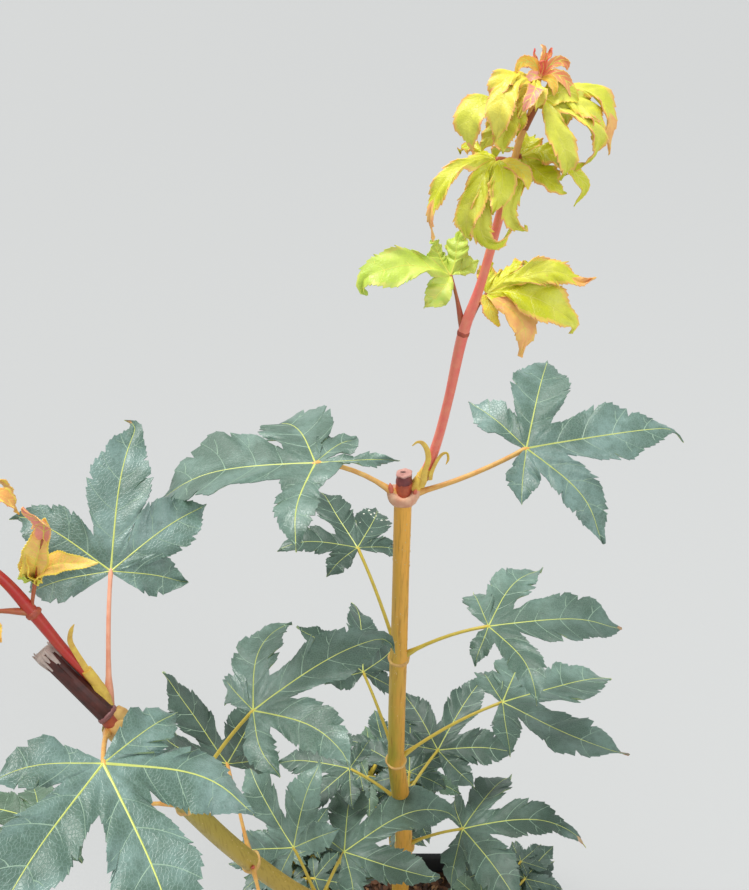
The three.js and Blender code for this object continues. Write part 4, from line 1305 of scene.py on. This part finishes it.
lined_leaf("leaf_leader_left", LEADER_NODE, (130, 0, 0), 38, "fresh", {2: 0.5}, {
    "join": (15.1, 6, 91.6),
    1: (13, (11, 5, 93.8), (7.3, 4, 95.1), (-0.9, 2, 97), (-8.9, -1, 96.3), (-14.5, -2, 94.4),
        (-16, -2.4, 91), (-14, -2, 88.4)),
    2: (8.6, (13.1, 2, 89.8), (9.8, -1, 86.9), (5.2, -3, 83.4)),
    0: (9, (12.4, 8, 95), (10.6, 10.4, 98.4), (8, 12, 102.4)),
    -1: (9, (16.5, 8, 96), (17, 10, 100.6), (18.4, 13, 106)),
    -2: (7, (18.4, 7.4, 92.8), (21.6, 9.4, 93.6), (25.4, 11, 95)),
})
lined_leaf("leaf_leader_right", LEADER_NODE, (5, -5, 0), 46, "lime", {-2: 0.3, 0: 0.8}, {
    "join": (28.4, 7.6, 83.9),
    0: (9, (34.6, 6.6, 88.9), (42.4, 5.6, 91.8), (49.2, 5.6, 93.4), (54.9, 4.6, 92.6), (60.9, 3.6, 89.8),
        (65.8, 3.6, 91.6)),
    -1: (15, (33, 5.4, 85.6), (38.1, 3, 86.4), (47.1, 0, 84.6), (54, -2.4, 81), (58.6, -4.4, 77.4),
         (57.4, -6, 74.6)),
    -2: (9.6, (32.7, 2.6, 83), (38.4, -1.4, 80.1), (42, -4.4, 73.9), (40.2, -6.4, 65.6)),
    1: (9, (32, 9.4, 87.4), (37, 11.6, 90.8), (43.4, 14, 93.4)),
    2: (8, (28.6, 10, 87), (29.4, 12, 90), (31, 14, 93)),
})
strap("leaf_leader_right", "yellow",
      [(28.8, 7, 83.7), (29, 4, 82), (30, 1.6, 79), (32.8, -0.4, 74.8)], 6, TO_VIEWER, base=0.7)


def bent_stalk(node, root, way, join):
    """A young leaf's stalk that leaves its node along the way and bends to where its lobes start."""
    steps = np.arange(16)
    path = curve([root, root + way, join], np.linspace(0, 1, len(steps)))
    swell = np.interp(steps, [0, 3, 6, 15], [2, 1.5, 1, 1]) * PETIOLE_RADIUS * YOUNG_STALK
    add_tube("young_stalks", STALKS["red"], "red_shoot", node, path, swell, 10)


young_leaf("leaf_shoot_left", SHOOT_NODE, "amber",
           leaf_row((200, 20, 16), (28, 205, 5, 0), stalk=YOUNG_STALK, droop=0.6,
                    lobes={0: {"curl": 0.8, "twist": 30}}))

# Each row: tone, width, edge, the way it faces, and the line, measured from node A
SHOOT_JOIN = (-124.6, -68, 15.4)
SHOOT_LOBES = [
    ("pastel", 9, 1, (0, -1, 0.3),
     [SHOOT_JOIN, (-122.6, -69.4, 22), (-119.6, -70, 29), (-116.6, -69, 37), (-115, -67.6, 42)]),
    ("rose", 6.4, 2, (0, -1, 0.2),
     [(-116.6, -69.6, 35), (-114.8, -70.4, 40.4), (-114.4, -71, 43.4), (-116.6, -71.6, 46),
      (-118.6, -71.6, 49.8)]),
    ("pastel", 8, 1, (0, -0.5, 1),
     [SHOOT_JOIN, (-121, -69.4, 20.8), (-114.5, -70, 24.8), (-108.3, -71, 26), (-101, -70, 25.2)]),
    ("amber", 5, 1, (-0.6, -1, 0.2),
     [SHOOT_JOIN, (-125, -69.6, 20.4), (-124.2, -70.6, 25.6), (-122.4, -71, 31)]),
    ("lime", 4.4, 1, (0, -1, 0.4), [SHOOT_JOIN, (-122.4, -70.6, 18.6), (-120, -72, 18.4)]),
    ("fresh", 4, 1, (-0.4, -1, 0.4), [SHOOT_JOIN, (-126, -70, 18.4), (-126.8, -71, 22)]),
]
for tone, width, edge, facing, line in SHOOT_LOBES:
    strap("leaf_shoot_right", tone, line, width, vec(*facing), edge, fold=0.5, base=0.5, saw=0.05)
# One stalk ends where most lobes start, and one goes on to the rose lobe
for join in (SHOOT_JOIN, SHOOT_LOBES[1][4][0]):
    bent_stalk("leaf_shoot_right", SHOOT_NODE, heading(75, 75) * 4.5, from_a(*join))

TUFT_POINTS = line_from_a(
    (30, 0, 118), (32.2, 0, 131), (33.6, 0, 139), (36, 0, 147), (37.2, 0, 153), (38, 0, 158.5))
limb("leader_tip", LIGHTENED_SHOOT_TIP, "young_leaf", "leader_tuft", TUFT_POINTS,
     [1.5, 1.25, 1.1, 0.95, 0.8, 0.55], 60, 16, 6, 0.03)

# Drooping leaves of the tuft. Each row: where it springs from, measured from node A, its blade's
# turns, size, tone, where its lobes blush from, and its lobes.
TUFT_LEAVES = [
    ((32.4, 0, 131.4), (230, 10, 0), 32, "lime", {-1: 0.72}, {
        "join": (26.8, -1, 133.2),
        -2: (5, (24.5, 0.6, 134.2), (22, 2, 135), (18.4, 4, 135.8), (15.2, 5, 134.4)),
        -1: (5.2, (24.5, -2, 134.2), (18.4, -5, 133.9), (12.4, -8, 131.7), (8.5, -10, 127.3),
             (6.1, -11, 121.8), (6, -11, 115.8), (7.6, -10, 110.8)),
        0: (8.2, (24.6, -3.4, 133), (21.8, -7.4, 129.4), (19.3, -10, 123.7), (17.4, -11, 118),
            (17.9, -10, 112.6), (19.4, -9, 109.4)),
        1: (6.4, (25.4, -5, 132), (23.4, -9, 127), (22, -11, 120), (22.2, -11.5, 114), (25, -11.5, 110),
            (29.5, -10, 110), (32.4, -7, 114)),
        2: (8, (27, -4, 133), (28, -8, 130.8), (27.4, -11, 126.2), (25, -12.6, 119.6))}),
    ((32.4, 0, 131.4), (-5, 10, 0), 24, "lime", {}, {
        "join": (34.4, 1, 133.6),
        -2: (4.6, (35, -3, 132), (34.4, -7, 129.4), (31.6, -9, 123.8), (31, -9, 118.9), (34.1, -8, 113.9),
             (37.7, -6, 112), (37.4, -4, 113.3)),
        -1: (10, (37, -0.6, 132.6), (39.7, -2.4, 130.4), (43.9, -5, 127.4), (49, -7, 124.6)),
        0: (9.4, (37.8, 1, 134.8), (42, 0, 135.4), (46.6, -3, 133.4), (48.4, -5, 129.6)),
        1: (8, (35.6, 3.4, 135), (38, 7, 137), (40.4, 11, 138)),
        2: (8, (33, 6, 135), (30, 12, 133), (28, 15, 129))}),
    ((34.6, 0, 142.4), (205, 0, 0), 26, "lime", {-1: 0.85}, {
        "join": (32.6, 0, 149.4),
        -2: (7, (30, 4, 150), (26, 8, 147), (24.6, 9, 141)),
        -1: (9.6, (29.7, -1, 150.6), (22.8, -4, 151.2), (18, -6, 149), (16.4, -7, 145), (17, -7, 140.5),
             (18.6, -6, 136.1)),
        0: (7.6, (29.7, -2, 148.6), (26.5, -3.4, 144.6), (23.7, -4, 141), (21, -4, 137)),
        1: (7.6, (31, -3, 149), (28.6, -6.6, 147), (27, -8.6, 142), (27.4, -8.6, 137)),
        2: (5, (32.6, -3, 148.6), (31.6, -6, 146), (31.4, -7.4, 142))}),
    ((36.4, 0, 150), (220, 0, 0), 24, "yellow", {-1: 0.7}, {
        "join": (35.2, -1, 157),
        -2: (5, (32.6, 2, 157.4), (29, 5, 156), (26.6, 7, 152.4)),
        -1: (7, (32, -1.6, 158.6), (27.4, -4, 158), (24, -6, 154.4), (23.4, -7, 150)),
        0: (8.4, (32.1, -3.6, 157.6), (27.6, -7, 155.8), (25.4, -10, 151.5), (25, -11, 146.5),
            (24.6, -10, 140.8)),
        1: (5, (34.6, -4.4, 156), (32.6, -8, 152.8), (31.1, -8.8, 147.4)),
        2: (5, (36, -4.4, 156.4), (36.4, -8, 153.4), (36, -8.6, 149.4))}),
    ((34.6, 0, 142.4), (-5, 0, 0), 30, "lime", {1: 0.72}, {
        "join": (38.8, 0, 151),
        -2: (7.6, (40.4, -4, 150.6), (41, -9, 147.4), (43.5, -12, 142.5), (46, -13, 137.3),
             (46.6, -12, 132.9), (45.4, -11, 129.2)),
        -1: (5.4, (42, -3.6, 150.4), (46, -7, 149), (51.2, -9, 146.8), (55.5, -9, 142.4), (56.2, -8, 138),
             (54.2, -7, 133.9), (50.6, -6, 132.6)),
        0: (9.6, (42, -1.4, 151.8), (46, -3, 152), (51.6, -4, 149.8), (55.4, -5, 145.6), (56.4, -4.5, 139.4)),
        1: (7.4, (42, 1, 152.8), (48.2, 2, 154.2), (54.9, 2, 152.4), (59.5, 1, 148.4), (61.8, 0, 142.7),
            (62, -1, 139.1), (61.8, -2, 134.9)),
        2: (8, (41.4, 4, 151.4), (45, 8, 149.4), (49, 11, 145), (50, 12, 138))}),
]
# The tuft's teeth, veins and puckers are larger than its leaves' sizes give, and its lobes turn to
# the viewer by less
TUFT_DETAIL, TUFT_SHOW = 1.2, 0.45
for root, turns, size, tone, blush, lobes in TUFT_LEAVES:
    lined_leaf("leader_tuft", from_a(*root), turns, TUFT_DETAIL * size, tone, blush, lobes, TUFT_SHOW)

# Small lobes by themselves. Each row: tone, width, edge, and the line, measured from node A. Edge 0
# has the blade's own colour, 1 the tone's edge colour and 2 its blush.
TUFT_LOBES = [
    ("yellow", 4.4, 2, [(27.4, -2, 133), (31.8, -7, 133.1), (35, -10, 130.8), (35.8, -11, 127)]),
    ("lime", 4.4, 1, [(46, -5, 135), (48.6, -6, 133), (51.6, -6, 130.1), (54.4, -6, 126.1), (52.2, -6, 120)]),
    ("rose", 4.6, 2, [(36.6, -2, 155), (35.4, -7.5, 155.6), (33.5, -12, 153.9), (31.4, -13, 150.4)]),
    ("fresh", 8, 1, [(34, 1, 133), (36, 4, 130), (38, 8, 126), (38, 11, 121)]),
    ("lime", 7, 1, [(38, -1, 150), (41, -3, 152.8), (45, -4, 153.8), (49, -5, 151.4)]),
    ("amber", 3.2, 2, [(38, 0, 157.6), (36, -0.5, 160.6), (33, -1, 161.8), (31, -1.5, 161), (30, -2, 158.6)]),
    ("coral", 2.6, 2, [(38, 0, 157.8), (37.6, 0.5, 161), (38.4, 1, 164), (37.4, 1.4, 166)]),
    ("scarlet", 2.0, 0, [(38, 0, 158), (39, 0.8, 161.6), (40.2, 1, 163.6), (40.4, 1, 165.2)]),
    ("scarlet", 1.8, 0, [(37.8, 0, 158), (36.4, 0.6, 161.4), (35.4, 0.8, 163.6), (35.6, 1, 165)]),
    ("scarlet", 1.8, 0, [(38, -0.6, 158), (38.2, -1.4, 160.4), (37.4, -2.2, 162), (36.6, -2.6, 161.4)]),
    ("coral", 2.8, 2, [(38.2, 0, 157.8), (40.4, 0, 160.6), (43, -0.4, 161.8), (45, -1, 161),
                       (45.4, -1.4, 159.4)]),
    ("coral", 3.2, 2, [(38.4, 0, 157.4), (41.6, -1.6, 158.4), (44.8, -3, 157), (47, -4, 154),
                       (47.6, -4, 151)]),
    ("rose", 3, 2, [(37.8, 0, 157.4), (36, -2, 158.2), (34, -3.4, 157.6), (32.6, -4, 155.4)]),
    ("amber", 2.8, 2, [(38.4, -0.8, 157.2), (40, -3, 157.4), (41.4, -4.6, 155.6), (41.6, -5, 153)]),
    ("coral", 2.6, 2, [(37.8, 1, 157.6), (37, 4, 160), (36, 7, 160.4), (35, 9, 158.4)]),
    ("amber", 3, 2, [(38, 1, 157), (41, 4, 158.6), (44, 6.4, 157.2), (45.6, 7.6, 154)]),
]
for tone, width, edge, line in TUFT_LOBES:
    in_front = line[len(line) // 2][1] < 0
    strap("leader_tuft", tone, line, width, TO_VIEWER if in_front else UP, edge)


# Masses by rule

MULTIPLIER, MODULUS = 16807, 2147483647


def seeded(seed):
    """The same run of random numbers from 0 to 1 as the part's masses draw."""
    state = seed
    while True:
        state = (state * MULTIPLIER) % MODULUS
        yield state / MODULUS


def leaf_pairs(points, seed, pairs, size, turn, keeps, look):
    """Rows of leaves in crosswise pairs. A leaf that would leave its mass's space is skipped."""
    numbers = seeded(seed)

    def vary(reach):
        return (next(numbers) * 2 - 1) * reach

    rows = []
    for pair in range(pairs):
        share = 0.2 + 0.8 * pair / (pairs - 1)
        root = curve(points, np.array([share]))[0]
        for half in (0, 180):
            grown = size * (1.1 - 0.3 * share) * (1 + vary(0.1))
            azimuth = turn + 90 * pair + half + vary(20)
            row = {"azimuth": azimuth, "rise": 25 + 25 * share + vary(8), "petiole": 0.7 * grown,
                   "size": grown, "facing": azimuth + vary(15), "dip": vary(8), "roll": vary(14),
                   "droop": 0.3 + vary(0.15)}
            row.update(look)
            join = root + heading(row["azimuth"], row["rise"]) * row["petiole"]
            tip = join + heading(row["facing"], -row["dip"]) * row["size"]
            if keeps(join) and keeps(tip):
                rows.append((root, row))
    return rows


SHOOT_TUFT = line_from_a((-145.5, -68, 29.4), (-155, -66, 40), (-161, -65, 50))
SHOOT_TUFT_LOOK = {"droop": 1.5, "stalk": 0.8, "slim": 0.85}
limb("side_tip", LIGHTENED_SHOOT_TIP, "young_leaf", "side_tuft", SHOOT_TUFT, [1.4, 1.2, 0.8], 24, 16, 8, 0.02)
for root, row in leaf_pairs(SHOOT_TUFT, 7, 2, 27, 60, lambda point: True, SHOOT_TUFT_LOOK):
    young_leaf("side_tuft", root, "amber", row)

# Low boughs by the part's own rules, in degrees and millimetres
BOUGH_REACH, STEM_REACH, STEM_RISE = 44, 70, 22
HALF_SECTOR, LOWEST_LEAF, TRUNK_ROOM = 50, 8, 16
STEM_PAIRS, STEM_LEAF, TWIG_PAIRS, TWIG_LEAF = 5, 44, 3, 30
TWIG_TURN, TWIG_RISE, TWIG_LENGTH, TWIG_LIFT = 55, 30, 18, 3
LOW_BOUGHS = [
    {"name": "low_back", "heading": 95, "from": 46, "rise": 16, "ceiling": 118, "seed": 11, "turn": 10},
    {"name": "low_left", "heading": 165, "from": 24, "rise": 18, "ceiling": 118, "seed": 23, "turn": 60},
    {"name": "low_front", "heading": 285, "from": 20, "rise": 12, "ceiling": 100, "seed": 43, "turn": 70},
    {"name": "low_right", "heading": 0, "from": 30, "rise": 4, "ceiling": 82, "seed": 31, "turn": 20},
]


def low_mass(spec, number):
    """A low bough, the stem that goes on from it and the leaves in its sector."""
    base = on_trunk(spec["from"])
    out = heading(spec["heading"], 0)
    name, rise = spec["name"], spec["rise"]

    def along(reach, up):
        return base + out * reach + UP * up

    def keeps(point):
        off = math.degrees(math.atan2(point[1], point[0])) - spec["heading"]
        off = abs((off + 180) % 360 - 180)
        low, high = SOIL + LOWEST_LEAF, SOIL + spec["ceiling"]
        return off < HALF_SECTOR and low < point[2] < high and math.hypot(*point[:2]) > TRUNK_ROOM

    limb("low_boughs_bark", SIDE_BARK, "bark", f"{name}_bough",
         [base, along(0.55 * BOUGH_REACH, 10), along(BOUGH_REACH, rise)],
         [3.4, 2.7, 2.2], 60, 20, 20 + number, 0.05)
    stem = [along(BOUGH_REACH - 1, rise - 0.6),
            along((BOUGH_REACH + STEM_REACH) / 2, rise + 0.4 * STEM_RISE),
            along(STEM_REACH, rise + STEM_RISE)]
    limb("low_twigs", SIDE_BARK, "bark", f"{name}_leaves", stem, [2.1, 1.7, 1.2], 40, 16, 30 + number, 0.04)
    for root, row in leaf_pairs(stem, spec["seed"], STEM_PAIRS, STEM_LEAF, spec["turn"], keeps, {}):
        tone = ("deep", "green")[int(leaf_chance.random() < 0.4)]
        leaf(f"{name}_leaves", root, row, "middle", tone, "yellow", leaf_chance, part="_low")
    for side, share in ((1, 0.15), (-1, 0.45), (1, 0.8)):
        start = curve(stem, np.array([share]))[0]
        way = heading(spec["heading"] + TWIG_TURN * side, TWIG_RISE) * TWIG_LENGTH
        twig = [start, start + way / 2, start + way + UP * TWIG_LIFT]
        seed = spec["seed"] + round(100 * share) + 60
        limb("low_twigs", SIDE_BARK, "bark", f"{name}_leaves", twig, [1.2, 0.9, 0.6], 20, 10, seed, 0.03)
        for foot, row in leaf_pairs(twig, seed, TWIG_PAIRS, TWIG_LEAF, spec["turn"] + 30, keeps, {}):
            leaf(f"{name}_leaves", foot, row, "small", "deep", "yellow", leaf_chance, part="_low")


for number, spec in enumerate(LOW_BOUGHS):
    low_mass(spec, number)


# Pot and filling

def rounded_square(width, height, corner):
    """Points round a square with round corners, each corner an arc of this many steps."""
    arc = 10
    arm = width / 2 - corner
    ring = []
    for quarter in range(4):
        middle = math.radians(90 * quarter + 45)
        centre = vec(math.cos(middle), math.sin(middle)) * arm * math.sqrt(2)
        for step in range(arc + 1):
            turn = math.radians(90 * (quarter + step / arc))
            ring.append([*(centre + corner * vec(math.cos(turn), math.sin(turn))), height])
    return np.array(ring)


POT_PLASTIC = shader("pot_plastic", tint(30, 31, 33), 0.55, 0.4)
set_bump(POT_PLASTIC, (noise(POT_PLASTIC, 900, 3), 0.25, 0.08))
MIX_BARK = shader("mix_bark", tint(70, 48, 34), 0.9, 0.2)
set_bump(MIX_BARK, (noise(MIX_BARK, 300, 5), 0.8, 1.0))
FOOT_WIDTH, TOP_WIDTH, WALL, POT_FLOOR, RIM_OVERHANG, RIM_DEPTH, CORNER = 84, 110, 2, 3, 3, 9, 16
# Ribs: their places on each side of the pot, and how far they stand out at a height
RIB_PLACES = (-24, 0, 24)
RIB_PROFILE = ((13, -0.4), (15.5, 0.6), (60, 0.7), (105, 0.6), (107.5, -0.4))


def outer_width(height):
    return FOOT_WIDTH + (TOP_WIDTH - FOOT_WIDTH) * height / POT_HEIGHT


def pot():
    rim_foot = POT_HEIGHT - RIM_DEPTH
    inner = outer_width(POT_HEIGHT) - 2 * WALL
    profile = [
        (FOOT_WIDTH - 4, 0), (FOOT_WIDTH - 2, 0.4), (outer_width(2) - 0.4, 1.2), (outer_width(2), 2.4),
        (outer_width(40), 40), (outer_width(80), 80), (outer_width(rim_foot), rim_foot),
        (outer_width(rim_foot) + 2 * RIM_OVERHANG - 1, rim_foot + 0.4),
        (outer_width(rim_foot) + 2 * RIM_OVERHANG, rim_foot + 1.2),
        (RIM_WIDTH, POT_HEIGHT - 1), (RIM_WIDTH - 0.6, POT_HEIGHT - 0.3), (RIM_WIDTH - 2, POT_HEIGHT),
        (inner + 1.5, POT_HEIGHT), (inner, POT_HEIGHT - 0.6), (inner - 5, 100),
        (outer_width(POT_FLOOR) - 2 * WALL, POT_FLOOR),
    ]
    rings = np.array([rounded_square(width, height, CORNER) for width, height in profile])
    shapes("nursery_pot", [POT_PLASTIC], "pot", "pot").add(*capped(rings))
    ribs = shapes("pot_ribs", [POT_PLASTIC], "pot", "pot")
    for turn in range(4):
        out, side = heading(90 * turn, 0), heading(90 * turn + 90, 0)
        for middle in RIB_PLACES:
            rings = []
            for height, proud in RIB_PROFILE:
                wall = outer_width(height) / 2
                rings.append([out * (wall + lift) + side * (middle + across) + UP * height
                              for across, lift in ((-1.9, -0.5), (1.9, -0.5), (1.3, proud), (-1.3, proud))])
            ribs.add(*capped(np.array(rings)))


CHIP_CORNERS = 7


def chips(name, material, number, sizes, seed):
    """Irregular splinters of bark that lie on the mix, tilted every way."""
    chance = np.random.default_rng(seed)
    group = shapes(name, [material], "potting_mix", "potting_mix")
    arm = outer_width(MIX_TOP) / 2 - WALL - 1.2
    for _ in range(number):
        length = chance.uniform(*sizes)
        wide, thick = length * chance.uniform(0.3, 0.7), min(2.2, length * chance.uniform(0.16, 0.4))
        room = arm - 0.55 * length
        x, y = chance.uniform(-room, room, 2)
        corner = max(abs(x), abs(y)) / arm
        low = MIX_TOP - 3.6 + 2.7 * (1 - corner**3)
        spacing = 2 * math.pi / CHIP_CORNERS
        turns = (np.sort(chance.uniform(0, spacing, CHIP_CORNERS)) * 0.5
                 + np.arange(CHIP_CORNERS) * 2 * math.pi / CHIP_CORNERS)
        reach = chance.uniform(0.75, 1.1, CHIP_CORNERS)
        flat = np.stack([np.cos(turns) * reach * length / 2, np.sin(turns) * reach * wide / 2,
                         np.zeros(CHIP_CORNERS)], axis=1)
        skew = chance.uniform(-0.15, 0.15, (CHIP_CORNERS, 1)) * thick
        body = np.stack([flat * 0.78 - UP * thick / 2, flat + UP * skew,
                         flat * 0.8 + UP * (thick / 2 + skew)])
        tilt = turned(chance.uniform(0, 360), chance.uniform(-22, 22), chance.uniform(-26, 26))
        body = body @ tilt.T + vec(x, y, low + chance.uniform(-0.1, 0.9))
        group.add(*capped(body))


def filling():
    chance = np.random.default_rng(12)
    inner = outer_width(MIX_TOP) - 2 * WALL - 2 * CLEARANCE
    shares = np.linspace(1, 0.02, 26)
    rings = [rounded_square(outer_width(POT_FLOOR + 1) - 2 * WALL - 1, POT_FLOOR + CLEARANCE, CORNER)]
    for share in shares:
        ring = rounded_square(inner, 0, CORNER)
        ring[:, :2] *= share
        crown = MIX_TOP - 3.4 + 3 * (1 - share**3)
        bumps = np.sin(ring[:, 0] * 0.55 + 1) * np.cos(ring[:, 1] * 0.61)
        ring[:, 2] = crown + 0.5 * bumps + chance.uniform(-0.4, 0.4, len(ring)) - 0.5
        rings.append(ring)
    shapes("mix_surface", [MIX_BARK], "potting_mix", "potting_mix").add(*capped(np.array(rings)))


pot()
filling()
for name, colour, number, sizes, seed in [
        ("dark", (58, 40, 32), 330, (4, 10), 31), ("brown", (96, 64, 44), 300, (3, 12), 32),
        ("tan", (140, 104, 72), 120, (2.5, 9), 33), ("crumb", (72, 50, 38), 900, (1.2, 3.2), 34)]:
    tone = tint(*colour)
    skin = stalk_material(f"chip_{name}", tone, scaled(tone, 1.35), 0.85)
    chips(f"mix_chips_{name}", skin, number, sizes, seed)

for group in pieces.values():
    make_piece(group)


# Studio

def floor():
    mesh = bpy.data.meshes.new("floor")
    reach = 20
    corners = [(-reach, -reach, 0), (reach, -reach, 0), (reach, reach, 0), (-reach, reach, 0)]
    mesh.from_pydata(corners, [], [(0, 1, 2, 3)])
    plane = bpy.data.objects.new("floor", mesh)
    mesh.materials.append(shader("floor_paint", tint(170, 171, 170), 0.8, 0.2))
    bpy.context.scene.collection.objects.link(plane)


LAMP_AIM = vec(0, 0, 0.4)


def lamp(name, kind, place_at, size, power, colour):
    """An area lamp of a size in metres, or a sun, which lights the whole floor, of a size in radians."""
    data = bpy.data.lights.new(name, kind)
    if kind == "SUN":
        data.angle = size
    else:
        data.shape = "DISK"
        data.size = size
    data.energy = power
    data.color = colour
    lamp_object = bpy.data.objects.new(name, data)
    lamp_object.location = place_at
    lamp_object.rotation_euler = look_angles(LAMP_AIM - vec(*place_at))
    bpy.context.scene.collection.objects.link(lamp_object)


def look_angles(direction):
    level = math.hypot(direction[0], direction[1])
    return (math.pi / 2 + math.atan2(direction[2], level), 0,
            math.atan2(direction[1], direction[0]) - math.pi / 2)


def camera():
    """Looks down by the photograph's pitch, from close in front of the upper plant."""
    pitch, focal_pixels, frame_height, sensor = 35, 800, 890, 36
    place_at = (-0.0168, -0.2597, 0.7278)
    data = bpy.data.cameras.new("camera")
    data.sensor_width = sensor
    data.lens = sensor * focal_pixels / frame_height
    data.clip_start = 0.01
    view = bpy.data.objects.new("camera", data)
    view.location = place_at
    view.rotation_euler = (math.radians(90 - pitch), 0, 0)
    bpy.context.scene.collection.objects.link(view)
    bpy.context.scene.camera = view


def studio():
    floor()
    lamp("key", "SUN", (-0.7, 0.3, 2.0), 0.6, 3.6, (1, 0.99, 0.97))
    lamp("fill", "AREA", (1.4, -1.2, 1.5), 1.4, 14, (0.95, 0.97, 1))
    world = bpy.data.worlds.new("studio")
    world.use_nodes = True
    background = world.node_tree.nodes["Background"]
    background.inputs["Color"].default_value = (0.92, 0.95, 1, 1)
    background.inputs["Strength"].default_value = 0.66
    bpy.context.scene.world = world
    bpy.context.scene.view_settings.view_transform = "Standard"
    camera()


studio()
